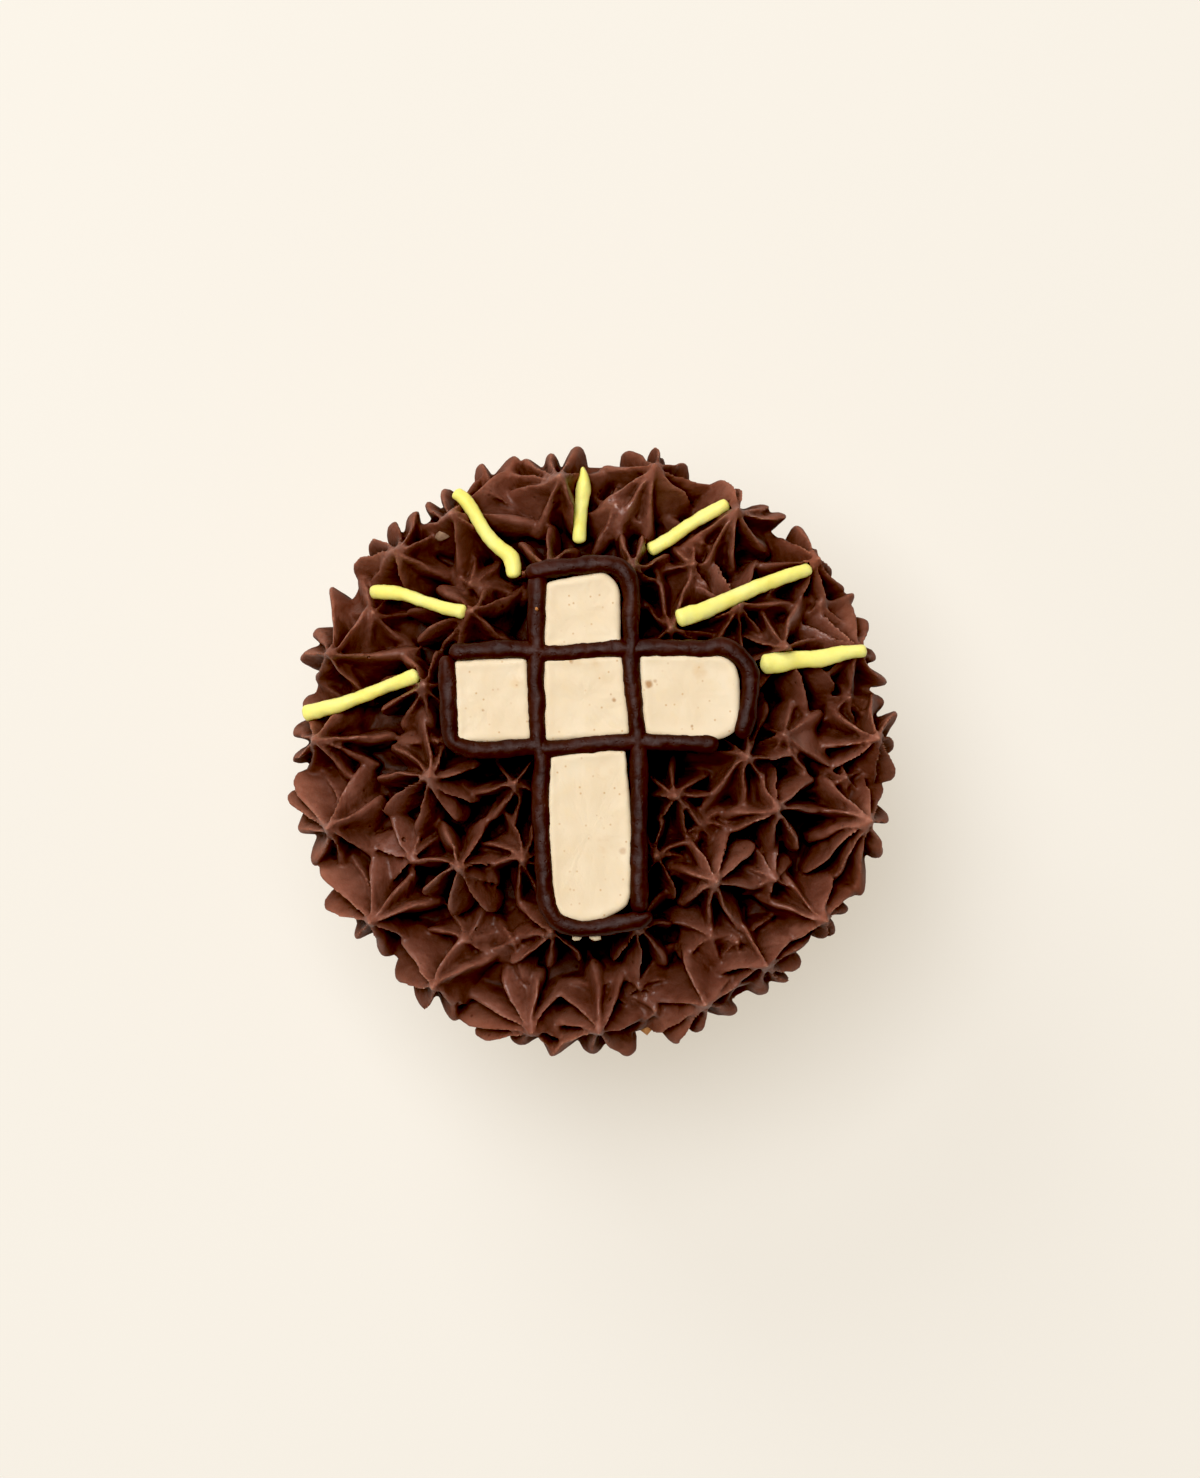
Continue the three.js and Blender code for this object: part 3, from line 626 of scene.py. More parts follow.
def build_stars():
    made = []
    for k, ((px, py), lean, size, ends) in enumerate(STARS):
        rng = random.Random(1000 + 17 * k)
        rim = lean == RIM_LEAN
        top = lean == TOP_LEAN
        H = STAR_H * size * (1.06 if top else 1.0)
        R = STAR_R * size * (1.05 if rim else 0.90 if top else 1.0)
        tip_z = 49.0 if rim else 55.5
        x, y = P(px, py, tip_z)
        az = math.atan2(y, x)
        tilt = math.radians(lean + rng.uniform(-2, 2))
        fr = math.hypot(x, y) - H * math.sin(tilt)
        at = (fr * math.cos(az), fr * math.sin(az), core_z(abs(fr)) - STAR_SINK + rng.uniform(-0.4, 0.4))
        fins = []
        if ends:
            for ex, ey in ends:
                gx, gy = P(ex, ey, tip_z - 5.5)
                dx, dy = gx - x, gy - y
                dr = dx * math.cos(az) + dy * math.sin(az)
                dt = -dx * math.sin(az) + dy * math.cos(az)
                fx = (dr + H * math.sin(tilt)) / math.cos(tilt)
                th = math.atan2(dt, fx)
                f = min(1.28, max(0.66, 1.06 * math.hypot(fx, dt) / R))
                if rim and math.cos(th) > 0.1:
                    f = min(f, max(0.5, (37.0 + rng.uniform(-0.5, 0.3) - fr) / (R * math.cos(th) * math.cos(tilt))))
                fins.append((th, f))
        else:
            n = 8 if rng.random() < 0.7 else 7
            ph = rng.uniform(0, 6.28)
            for i in range(n):
                fins.append((ph + 2 * math.pi * (i + rng.uniform(-0.16, 0.16)) / n, rng.uniform(0.95, 1.22)))
        twist = rng.choice((-1, 1)) * rng.uniform(0.10, 0.45)
        rings, low, tip = star_rings(at, az, tilt, fins, R, H, twist, rng.uniform(0, 0.5), rng, 1.0 if rim else 0.0)
        verts, faces = loft(rings, low, tip)
        made.append(make("star_%02d" % k, verts, faces))
    for k, (px, py) in enumerate(KNOBS):
        rng = random.Random(5000 + 13 * k)
        x, y = P(px, py, 50.0)
        r, az = math.hypot(x, y), math.atan2(y, x)
        H, R = rng.uniform(5.0, 7.0), rng.uniform(4.4, 5.8)
        n = rng.choice((5, 6, 6, 7))
        ph = rng.uniform(0, 6.28)
        fins = [(ph + 2 * math.pi * (i + rng.uniform(-0.2, 0.2)) / n, rng.uniform(0.8, 1.25)) for i in range(n)]
        at = (x, y, core_z(r) - 2.8 + rng.uniform(-0.4, 0.4))
        rings, low, tip = star_rings(at, az + rng.uniform(-1, 1), math.radians(rng.uniform(2, 22)), fins, R, H,
                                     rng.uniform(-0.5, 0.5), rng.uniform(0.2, 0.9), rng, 0.0, 0.8)
        verts, faces = loft(rings, low, tip)
        made.append(make("knob_%02d" % k, verts, faces))
    # stars that the ends of the plaque have settled on
    for k, (px, py) in enumerate(UNDER):
        rng = random.Random(7000 + 13 * k)
        x, y = P(px, py, 55.0)
        r, az = math.hypot(x, y), math.atan2(y, x)
        foot = core_z(r) - 2.8
        fins = [(0.4 * k + 2 * math.pi * (i + rng.uniform(-0.2, 0.2)) / 6, rng.uniform(0.9, 1.15)) for i in range(6)]
        rings, low, tip = star_rings((x, y, foot), az, 0.02, fins, 5.2, PLAQUE_Z - 0.1 - foot, 0.3, 0.2, rng, 0.0, 0.8)
        verts, faces = loft(rings, low, tip)
        made.append(make("under_%02d" % k, verts, faces))
    return made


def build_core():
    """The bed of frosting under the stars, down to the cake's crust."""
    rows = []
    seg = 240

    def row(r, z, amp=0.0, lumps=0.0):
        out = []
        for i in range(seg):
            a = 2 * math.pi * i / seg
            nz = noise.noise(Vector((math.cos(a) * 3.1, math.sin(a) * 3.1, r * 0.21 + z * 0.1)))
            rr = r + amp * nz - (1.3 * sliver(a) if r > 33.5 else 0.0)
            q = Vector((rr * math.cos(a), rr * math.sin(a), 3.0))
            lz = lumps * (1.1 * noise.noise(q * 0.28) + 0.9 * abs(noise.noise(q * 0.62)) + 0.22 * noise.noise(q * 1.7) - 0.3)
            zz = z + 0.5 * amp * nz + lz
            if lumps:
                zz = max(zz, dome_z(rr) + 0.3)
            out.append((q.x, q.y, zz))
        rows.append(out)
    for r in (6, 14, 22, 28, 32):
        row(r, dome_z(r) - 0.5)
    row(34.6, 39.9)
    row(35.3, 40.3, 0.4)
    row(35.5, 41.0, 0.5)
    for i in range(44):
        r = 34.9 - (34.9 - 1.5) * i / 43
        row(r, bed_z(r) + 0.35, 0.4, smooth(35.2, 33.5, r))
    verts, faces = loft(rows, (0, 0, dome_z(0) - 0.5), (0, 0, bed_z(0) + 0.2))
    return make("frosting", verts, faces)


# ------------------------------------------------------------------ beads along a path
class Path:
    """A smooth curve through points, walked by arc length."""

    def __init__(self, pts, step=0.25):
        self.p = []
        n = len(pts)
        pts = [Vector(p) for p in pts]
        for i in range(n - 1):
            p0 = pts[i - 1] if i else pts[i] * 2 - pts[i + 1]
            p1, p2 = pts[i], pts[i + 1]
            p3 = pts[i + 2] if i + 2 < n else pts[i + 1] * 2 - pts[i]
            # centripetal knots
            t0 = 0.0
            t1 = t0 + max(1e-4, (p1 - p0).length) ** 0.5
            t2 = t1 + max(1e-4, (p2 - p1).length) ** 0.5
            t3 = t2 + max(1e-4, (p3 - p2).length) ** 0.5
            m = max(2, int((p2 - p1).length / step))
            for k in range(m):
                t = lerp(t1, t2, k / m)
                a1 = p0 * ((t1 - t) / (t1 - t0)) + p1 * ((t - t0) / (t1 - t0))
                a2 = p1 * ((t2 - t) / (t2 - t1)) + p2 * ((t - t1) / (t2 - t1))
                a3 = p2 * ((t3 - t) / (t3 - t2)) + p3 * ((t - t2) / (t3 - t2))
                b1 = a1 * ((t2 - t) / (t2 - t0)) + a2 * ((t - t0) / (t2 - t0))
                b2 = a2 * ((t3 - t) / (t3 - t1)) + a3 * ((t - t1) / (t3 - t1))
                self.p.append(b1 * ((t2 - t) / (t2 - t1)) + b2 * ((t - t1) / (t2 - t1)))
        self.p.append(pts[-1])
        self.s = [0.0]
        for a, b in zip(self.p, self.p[1:]):
            self.s.append(self.s[-1] + (b - a).length)
        self.length = self.s[-1]

    def at(self, s):
        s = min(self.length, max(0.0, s))
        lo, hi = 0, len(self.s) - 1
        while hi - lo > 1:
            mid = (lo + hi) // 2
            if self.s[mid] <= s:
                lo = mid
            else:
                hi = mid
        f = (s - self.s[lo]) / max(1e-9, self.s[hi] - self.s[lo])
        return self.p[lo].lerp(self.p[hi], f)

    def along(self, s):
        return (self.at(s + 0.3) - self.at(s - 0.3)).normalized()


def bead_mesh(name, path, width, thick, sides=20, step=0.32, flat=0.62, seed=0, lump=0.05, end=1.0):
    """A piped line: round above, flatter below, with round ends."""
    n = max(6, int(path.length / step))
    rings = []
    up = Vector((0, 0, 1))
    off = Vector((seed * 7.3, seed * 3.1, seed * 1.7))
    caps = [0.10, 0.30, 0.52, 0.72, 0.88, 0.97]
    stations = []
    w0, w1 = width(0.0) / 2, width(1.0) / 2
    for c in caps:
        stations.append((w0 * end * (1 - math.cos(math.asin(c))), c))
    for i in range(1, n):
        s = w0 * end + (path.length - (w0 + w1) * end) * i / n
        stations.append((s, 1.0))
    for c in reversed(caps):
        stations.append((path.length - w1 * end * (1 - math.cos(math.asin(c))), c))
    for s, c in stations:
        f = s / path.length
        o = path.at(s)
        t = path.along(s)
        side = up.cross(t).normalized()
        rise = t.cross(side)
        w = width(f) / 2 * c
        h = thick(f) / 2 * c
        ring = []
        for k in range(sides):
            a = 2 * math.pi * k / sides
            x, y = math.cos(a), math.sin(a)
            yy = y * h * (flat if y < 0 else 1.0)
            p = o + side * (x * w) + rise * yy
            p += lump * noise.noise_vector(p * 0.9 + off) + lump * 0.5 * noise.noise_vector(p * 2.6 + off)
            ring.append((p.x, p.y, p.z))
        rings.append(ring)
    a, b = path.at(0), path.at(path.length)
    verts, faces = loft(rings, tuple(a), tuple(b))
    return make(name, verts, faces)


# ------------------------------------------------------------------ the plaque


def plaque_points(pts, z=PLAQUE_Z):
    return [(*P(x, y, z), z) for x, y in pts]


LINES = {
    "upright_left": [(538, 574), (537.5, 590), (537, 609), (536.5, 634), (537.5, 649), (535.3, 681), (537, 698), (537, 723),
                     (538.6, 744), (542.8, 759), (540.8, 794), (542, 829), (544, 868), (546.6, 899),
                     (555.5, 918.6), (574.6, 927.5), (593.8, 927.5), (613, 924.5), (630, 921.5), (643, 919), (651, 912.5)],
    "upright_right": [(526, 573), (547, 569.5), (573.6, 566), (600, 564), (616, 566), (627, 576), (631.6, 594),
                      (630.7, 611), (630.7, 629), (632, 648), (630.5, 663), (634.8, 707), (638, 739), (639, 772),
                      (639, 815), (639, 858), (639.5, 905), (638.6, 914)],
    "arm_upper": [(449, 652.5), (480, 651), (513, 649), (537, 652), (565, 652.5), (591, 650), (618, 648),
                  (632, 649), (644, 648), (673, 648), (706, 649), (723, 646.6), (739.5, 656), (749.5, 669),
                  (750.3, 690), (748, 710), (743.6, 727), (739.5, 738)],
    "arm_lower": [(446.6, 655), (448, 681), (449, 702), (450, 723), (453, 741), (471.5, 748.6), (496, 749.5),
                  (521, 747), (538, 746), (549, 749), (574.6, 746.4), (606.5, 742.6), (622, 742.6), (638, 741),
                  (652, 742), (673, 742), (698, 743), (719, 743.7)],
}
CELLS = {
    "cross_fill_top": [(548, 584), (603, 574), (617, 586), (619, 643), (546, 647)],
    "cross_fill_left": [(456, 663), (525, 660), (530, 738), (459, 740.5)],
    "cross_fill_centre": [(546, 660), (621, 657), (628, 733), (547, 739)],
    "cross_fill_right": [(641.5, 656.5), (717, 657), (730.5, 662), (737, 676), (737.5, 719), (732.5, 730), (721, 736.5), (703, 738),
                         (647, 733)],
    "cross_fill_foot": [(551.5, 757), (624.5, 750), (630, 829), (629, 903), (601, 918), (584, 920), (566, 918),
                        (556, 906), (549.5, 829)],
}
ROUND = {  # corner radius in mm for each cell's corners
    "cross_fill_top": [0.6, 1.0, 0.9, 0.5, 0.5],
    "cross_fill_left": [0.6, 0.5, 0.6, 0.7],
    "cross_fill_centre": [0.5, 0.5, 0.6, 0.5],
    "cross_fill_right": [0.5, 0.9, 0.9, 0.9, 0.9, 0.8, 0.8, 0.8, 0.7],
    "cross_fill_foot": [0.6, 0.6, 3, 1.6, 1.5, 1.5, 1.5, 1.5, 3],
}


def rounded(corners, radii, step=0.22):
    """Closed outline with rounded corners, evenly sampled."""
    out = []
    n = len(corners)
    cs = [Vector(c) for c in corners]
    for i in range(n):
        c, a, b = cs[i], cs[i - 1], cs[(i + 1) % n]
        r = radii[i]
        ra = min(r, (a - c).length * 0.45)
        rb = min(r, (b - c).length * 0.45)
        p, q = c + (a - c).normalized() * ra, c + (b - c).normalized() * rb
        for k in range(9):
            t = k / 8
            out.append(p * (1 - t) ** 2 + c * 2 * t * (1 - t) + q * t * t)
    dense = []
    m = len(out)
    for i in range(m):
        a, b = out[i], out[(i + 1) % m]
        k = max(1, int((b - a).length / step))
        for j in range(k):
            dense.append(a.lerp(b, j / k))
    total = sum((dense[(i + 1) % len(dense)] - dense[i]).length for i in range(len(dense)))
    want = int(total / step)
    res, acc, i = [], 0.0, 0
    for k in range(want):
        target = total * k / want
        while True:
            seg = (dense[(i + 1) % len(dense)] - dense[i % len(dense)]).length
            if acc + seg >= target or i > len(dense) * 2:
                break
            acc += seg
            i += 1
        f = (target - acc) / max(1e-9, seg)
        res.append(dense[i % len(dense)].lerp(dense[(i + 1) % len(dense)], f))
    return res


def cell_mesh(name, seed):
    z_top, z_low = PLAQUE_Z + 0.52, PLAQUE_Z - 0.85
    corners = [P(x, y, z_top) for x, y in CELLS[name]]
    # the cream runs a little way under the lines round it
    line = rounded(corners, ROUND[name])
    cx = sum(p.x for p in line) / len(line)
    cy = sum(p.y for p in line) / len(line)
    c = Vector((cx, cy))
    size = max((p - c).length for p in line)
    # inset distance from the edge, height over z_top: a rounded lip, then a very slight dish
    prof = [(0.30, -1.35), (-0.34, -1.37), (-0.36, -0.9), (-0.34, -0.42), (-0.20, -0.16), (-0.02, -0.03),
            (0.18, 0.03), (0.42, 0.045), (0.75, 0.02), (1.15, -0.02)]
    off = Vector((seed * 3.7, seed * 9.1, 0))
    rings = []

    def inset(p, d):
        v = p - c
        return c + v * (1 - d / max(1.2, v.length))
    for d, h in prof:
        ring = []
        for p in line:
            q = inset(p, d)
            z = z_top + h
            if h > -0.3:
                z += 0.07 * noise.noise(Vector((q.x * 0.5, q.y * 0.5, 0)) + off) + 0.025 * noise.noise(Vector((q.x * 1.7, q.y * 1.7, 3)) + off)
            edge = 0.10 * noise.noise(Vector((q.x * 0.8, q.y * 0.8, 7)) + off) if d < 0.3 and h > -1.3 else 0
            q = inset(p, d + edge)
            ring.append((q.x, q.y, z))
        rings.append(ring)
    for k in range(1, 9):
        f = 1 - k / 9
        ring = []
        for p in line:
            q0 = inset(p, 1.15)
            q = c + (q0 - c) * f
            z = z_top - 0.02 - 0.03 * (1 - f)
            z += 0.07 * noise.noise(Vector((q.x * 0.5, q.y * 0.5, 0)) + off) + 0.025 * noise.noise(Vector((q.x * 1.7, q.y * 1.7, 3)) + off)
            ring.append((q.x, q.y, z))
        rings.append(ring)
    zc = z_top - 0.05 + 0.07 * noise.noise(Vector((c.x * 0.5, c.y * 0.5, 0)) + off)
    # the corners run clockwise, so the rings are turned round for the faces to look outwards
    verts, faces = loft([r[::-1] for r in rings], (c.x, c.y, z_top - 1.37), (c.x, c.y, zc))
    return make(name, verts, faces)


# ------------------------------------------------------------------ the sticks
STICKS = [  # plan in photo pixels from the outer end inwards, and widths in px; the heights of the ends come from the frosting
    ([(303, 714.5), (319, 710), (335, 706), (362, 696.5), (388, 686), (404, 680), (418.5, 674.5)], [17, 16, 14.5, 13.5, 13, 14, 16]),
    ([(373, 592), (383, 592), (402, 594), (423, 601), (445, 608), (465.5, 612)], [14, 15, 13, 12.5, 13.5, 15]),
    ([(454.5, 491.5), (464, 499), (476, 516), (488, 536), (500, 548), (511, 558), (514.5, 578)], [13, 14, 14, 14, 15, 17, 15]),
    ([(583, 467.5), (584, 479), (582, 501), (580, 522), (579.5, 543.5)], [3.5, 15, 14, 13.5, 14.5]),
    ([(728.5, 503), (712, 512), (690, 524.5), (668, 540), (648, 551)], [13, 14, 13.5, 14, 14]),
    ([(811, 568.5), (790, 575), (757, 587), (722.6, 602.5), (700, 612), (676, 619)], [13, 14.5, 15, 16, 18, 19]),
    ([(866.5, 650.5), (843, 653), (820, 658.5), (798.5, 659.5), (777, 662.5), (760.5, 664.5)], [12, 15, 18, 17, 21, 21]),
]
STICK_T = 1.65
STICK_SINK = 1.0


def stick_line(tree, pts):
    """The lowest straight slope along the plan that clears the frosting's crests."""
    flat = Path([(*P(x, y, 52), 0.0) for x, y in pts])
    hs = [top_of(tree, *flat.at(flat.length * i / 30).xy) for i in range(31)]
    best = None
    outer = 46.0
    while outer < 60:
        inner = max((h - outer * (1 - i / 30)) / (i / 30) for i, h in enumerate(hs) if i > 0)
        inner = max(inner, outer)
        if outer >= hs[0] and (best is None or outer + inner < sum(best)):
            best = (outer, inner)
        outer += 0.1
    return best, flat


def press(path, width, under, name="press"):
    """A cutter standing on the underside of a bead: what it covers is pressed down in the frosting."""
    n = max(6, int(path.length / 0.4))
    up = Vector((0, 0, 1))
    rings = []
    for i in range(n + 1):
        s = path.length * i / n
        o = path.at(s)
        side = up.cross(path.along(s)).normalized() * (width(i / n) / 2)
        low = o.z - under(i / n)
        ring = []
        for f in (-1.0, -0.8, -0.4, 0.0, 0.4, 0.8, 1.0):
            q = o + side * f
            ring.append((q.x, q.y, low + 0.5 * under(i / n) * f ** 4))
        a, b = o + side, o - side
        ring += [(a.x, a.y, 80.0), (b.x, b.y, 80.0)]
        rings.append(ring)
    a, b = path.at(0), path.at(path.length)
    verts, faces = loft(rings, (a.x, a.y, a.z + 5), (b.x, b.y, b.z + 5))
    ob = make(name, verts, faces)
    bm = bmesh.new()
    bm.from_mesh(ob.data)
    bmesh.ops.recalc_face_normals(bm, faces=bm.faces)
    bm.to_mesh(ob.data)
    bm.free()
    return ob


def press_cell(name):
    corners = [P(x, y, PLAQUE_Z) for x, y in CELLS[name]]
    line = rounded(corners, ROUND[name], 0.6)
    low = PLAQUE_Z + 0.52 - 1.37 - 0.04
    verts, faces = loft([[(p.x, p.y, low) for p in line], [(p.x, p.y, 80.0) for p in line]])
    n = len(line)
    faces += [tuple(range(n)), tuple(range(n, 2 * n))]
    ob = make("press", verts, faces)
    bm = bmesh.new()
    bm.from_mesh(ob.data)
    bmesh.ops.triangulate(bm, faces=[f for f in bm.faces if len(f.verts) > 4])
    bmesh.ops.recalc_face_normals(bm, faces=bm.faces)
    bm.to_mesh(ob.data)
    bm.free()
    return ob


def build_stick(k, tree):
    pts, widths = STICKS[k]
    (z0, z1), flat = stick_line(tree, pts)
    n = len(pts)
    lift = STICK_T * 0.5 * 0.7 - STICK_SINK
    path_pts = []
    for i in range(n):
        f = i / (n - 1)
        z = lerp(z0, z1, f) + lift
        x, y = P(*pts[i], z)
        path_pts.append((x, y, z))
    path = Path(path_pts)
    ws = [(i / (n - 1), w * PX * 0.985) for i, w in enumerate(widths)]
    cut = press(path, lambda f: table(ws, f) + 0.10, lambda f: 0.35 * STICK_T * (0.72 + 0.28 * table(ws, f) / 1.8) + 0.04)
    return cut, bead_mesh("ray_%d" % (k + 1), path, lambda f: table(ws, f),
                     lambda f: STICK_T * (0.72 + 0.28 * table(ws, f) / 1.8), sides=22, step=0.3, flat=0.7,
                     seed=20 + k, lump=0.09, end=0.62)


# ------------------------------------------------------------------ case and cake
CASE_H, BASE_R, RIM_R, FLUTES = 38.0, 25.0, 34.95, 42


def case_mesh():
    """Pleated paper: sharp-backed flutes that die out just above the flat base."""
    per = 12
    seg = FLUTES * per
    rng = random.Random(5)
    jit = [rng.uniform(-0.10, 0.10) for _ in range(FLUTES)]
    amp = [rng.uniform(0.86, 1.14) for _ in range(FLUTES)]
    top = [rng.uniform(-0.25, 0.12) for _ in range(FLUTES)]

    def flute(i):
        f = i / per
        j = int(f) % FLUTES
        s = (f - int(f) + jit[j] * math.sin(math.pi * (f - int(f)))) * 2 * math.pi
        c = math.cos(s)
        return 0.67 * math.asin(0.985 * c) * lerp(amp[j], amp[(j + 1) % FLUTES], smooth(0, 1, f - int(f)))

    def row(z, dr):
        out = []
        f = max(0.0, min(1.0, z / CASE_H))
        a0 = lerp(0.34, 0.88, smooth(0.0, 1.0, f) * 0.3 + f * 0.7)
        if z < 0.8:
            a0 *= 0.6
        for i in range(seg):
            a = 2 * math.pi * i / seg
            j = (i // per) % FLUTES
            r = BASE_R + (RIM_R - BASE_R) * z / CASE_H + dr
            r += a0 * flute(i)
            r += 0.22 * f * noise.noise(Vector((math.cos(a) * 1.6, math.sin(a) * 1.6, z * 0.05)))
            r += 0.035 * noise.noise(Vector((math.cos(a) * 14, math.sin(a) * 14, z * 0.35)))
            zz = z + (lerp(top[j], top[(j + 1) % FLUTES], (i % per) / per) * smooth(0.9, 1.0, f))
            out.append((r * math.cos(a), r * math.sin(a), zz))
        return out
    rings = []
    for r in (5, 12, 18, 22.5):
        rings.append([(r * math.cos(2 * math.pi * i / seg), r * math.sin(2 * math.pi * i / seg), 0.0) for i in range(seg)])
    rings.append(row(0.0, -0.55))
    rings.append(row(0.12, -0.16))
    rings.append(row(0.55, 0.0))
    for k in range(1, 25):
        rings.append(row(0.55 + (CASE_H - 0.75) * k / 24, 0.0))
    rings.append(row(CASE_H - 0.06, -0.07))
    rings.append(row(CASE_H - 0.04, -0.22))
    for k in range(0, 12):
        rings.append(row(CASE_H - 0.3 - (CASE_H - 1.2) * k / 11, -0.28))
    for r in (22.5, 14, 6):
        rings.append([(r * math.cos(2 * math.pi * i / seg), r * math.sin(2 * math.pi * i / seg), 0.4) for i in range(seg)])
    verts, faces = loft(rings, (0, 0, 0), (0, 0, 0.4))
    return make("paper_case_pleated", verts, faces, 60)


def sliver(a):
    """Where the sponge shows between two stars of the rim."""
    total = 0.0
    for centre, width in ((62.9, 1.6), (-78.8, 1.4)):
        d = (math.degrees(a) - centre + 180) % 360 - 180
        total += math.exp(-(d / width) ** 2)
    return total


def cake_mesh():
    """Sponge with a baked crust: a soft rolled edge over the rim of the case."""
    seg = 260
    inset = 1.55
    slope = (RIM_R - BASE_R) / CASE_H
    prof = [(6, 0.85), (14, 0.85), (BASE_R - inset - 0.4, 0.85), (BASE_R - inset + slope * 1.2, 1.3)]
    for k in range(1, 15):
        z = 1.3 + (CASE_H - 1.0 - 1.3) * k / 14
        prof.append((BASE_R - inset + slope * z, z))
    prof += [(33.3, 37.7), (33.45, 38.2), (34.2, 38.45), (34.85, 38.75), (35.1, 39.2), (35.15, 39.7), (35.0, 40.15),
             (34.6, 40.4)]
    for f in (0.94, 0.86, 0.76, 0.66, 0.54, 0.4, 0.25, 0.1):
        prof.append((34.6 * f, dome_z(34.6 * f)))
    rings = []
    for r, z in prof:
        ring = []
        for i in range(seg):
            a = 2 * math.pi * i / seg
            rough = 0.0
            if z > 37.9:
                p = Vector((r * math.cos(a), r * math.sin(a), z))
                rough = 0.16 * noise.noise(p * 0.5) + 0.14 * noise.noise(p * 1.5) + 0.10 * noise.noise(p * 3.4)
                crater = max(0.0, noise.noise(p * 1.1 + Vector((9, 9, 9))) - 0.32)
                rough -= 0.9 * crater
            r2 = r + rough + (1.0 * sliver(a) * smooth(38.3, 39.2, z) if r > 34 else 0.0)
            ring.append((r2 * math.cos(a), r2 * math.sin(a), z + 0.3 * rough))
        rings.append(ring)
    verts, faces = loft(rings, (0, 0, 0.85), (0, 0, dome_z(0)))
    return make("cake_sponge_body", verts, faces)


def openness(ob, others, bright, rays=14, reach=22.0):
    """Stores on each vertex how much of the sky over it is free, how sharp a rib it is on, and
    how far it is from the bright pieces."""
    verts, faces = [], []
    for o in [ob] + others:
        base = len(verts)
        verts += [v.co / MM for v in o.data.vertices]
        faces += [tuple(base + i for i in p.vertices) for p in o.data.polygons]
    tree_ = BVHTree.FromPolygons(verts, faces)
    me = ob.data
    dirs = []
    for k in range(rays):
        u = (k + 0.5) / rays
        zc = math.sqrt(1 - 0.92 * u)
        a = k * 2.399963
        sr = math.sqrt(1 - zc * zc)
        dirs.append(Vector((sr * math.cos(a), sr * math.sin(a), zc)))
    vals = []
    for v in me.vertices:
        o = v.co / MM + v.normal * 0.12
        free = 0
        for d in dirs:
            if tree_.ray_cast(o, d, reach)[0] is None:
                free += 1
        vals.append(free / rays)
    attr = me.attributes.new("open", "FLOAT", "POINT")
    attr.data.foreach_set("value", vals)
    # how sharply the surface turns down on both sides: high along the ribs
    ridge = [0.0] * len(vals)
    count = [0] * len(vals)
    vs = me.vertices
    for e in me.edges:
        a, b = e.vertices
        d = vs[b].co - vs[a].co
        if d.length < 1e-7:
            continue
        d.normalize()
        ridge[a] -= vs[a].normal.dot(d)
        ridge[b] += vs[b].normal.dot(d)
        count[a] += 1
        count[b] += 1
    ridge = [max(0.0, r / max(1, c)) for r, c in zip(ridge, count)]
    attr = me.attributes.new("ridge", "FLOAT", "POINT")
    attr.data.foreach_set("value", ridge)
    trees = [bvh(o) for o in bright]
    away = []
    for v in me.vertices:
        o = v.co / MM
        d = 3.2
        for t in trees:
            hit = t.find_nearest(o, d)
            if hit[0] is not None:
                d = min(d, hit[3])
        away.append(smooth(0.4, 3.2, d))
    attr = me.attributes.new("away", "FLOAT", "POINT")
    attr.data.foreach_set("value", away)


# ------------------------------------------------------------------ build
MAT = {
    "frosting": frosting_material(), "chocolate": chocolate_material(), "cream": cream_material(),
    "yellow": yellow_material(), "paper": paper_material(), "sponge": sponge_material(), "flake": flake_material(),
}


def piece(ob, name, slot, node):
    ob.name = name
    ob.data.name = name
    ob.data.materials.clear()
    ob.data.materials.append(MAT[slot])
    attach(ob, "root")
    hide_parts(node)
    return ob


frosting = build_core()
boolean(frosting, build_stars(), "UNION")
knead(frosting, 0.26, 4, 180000)
tree = bvh(frosting)

cuts, sticks = [], []
for k in range(7):
    cut, ob = build_stick(k, tree)
    cuts.append(cut)
    sticks.append(ob)

bead_w = 18.6 * PX * 0.985
lines = []
for k, (name, pts) in enumerate(LINES.items()):
    path = Path(plaque_points(pts))
    ph = 1.7 * k
    curl = 0.45 if name == "upright_left" else 0.0

    def line_width(f, ph=ph, L=path.length, curl=curl):
        return bead_w * (1 + 0.045 * math.sin(f * L * 0.5 + ph) + 0.04 * math.sin(f * L * 1.3 + 2 * ph)) * (1 - curl * smooth(0.955, 1.0, f))
    lines.append(bead_mesh("line_" + name, path, line_width, lambda f: 2.05, sides=24, step=0.3, flat=0.9, seed=k, lump=0.13))
    cuts.append(press(path, lambda f: bead_w + 0.2, lambda f: 0.98))
outline = lines[0]
boolean(outline, lines[1:], "UNION")
finish_mesh(outline, 50)
cells = [cell_mesh(name, k + 1) for k, name in enumerate(CELLS)]
cuts += [press_cell(name) for name in CELLS]

# small holes where beaten-in air has broken out
AIR = [(655, 845, 0.34), (790, 828, 0.40), (510, 855, 0.36), (403, 840, 0.34), (421, 840, 0.26), (368, 657, 0.24),
       (700, 905, 0.24), (840, 730, 0.22), (476, 930, 0.28), (610, 1000, 0.24), (352, 742, 0.24), (725, 850, 0.22)]
for k, (px, py, size) in enumerate(AIR):
    x, y = P(px, py, 51.0)
    z = top_of(tree, x, y)
    ball = []
    for j in range(1, 8):
        el = math.pi * j / 8 - math.pi / 2
        ball.append([(x + size * math.cos(el) * math.cos(a) * 1.15, y + size * math.cos(el) * math.sin(a), z - 0.1 * size + 1.3 * size * math.sin(el))
                     for a in (2 * math.pi * i / 12 + 0.3 * k for i in range(12))])
    verts, faces = loft(ball, (x, y, z - 1.4 * size), (x, y, z + 1.2 * size))
    cuts.append(make("air_%d" % k, verts, faces))

boolean(frosting, cuts, "DIFFERENCE")
finish_mesh(frosting, 58)
openness(frosting, sticks + cells + [outline], sticks)

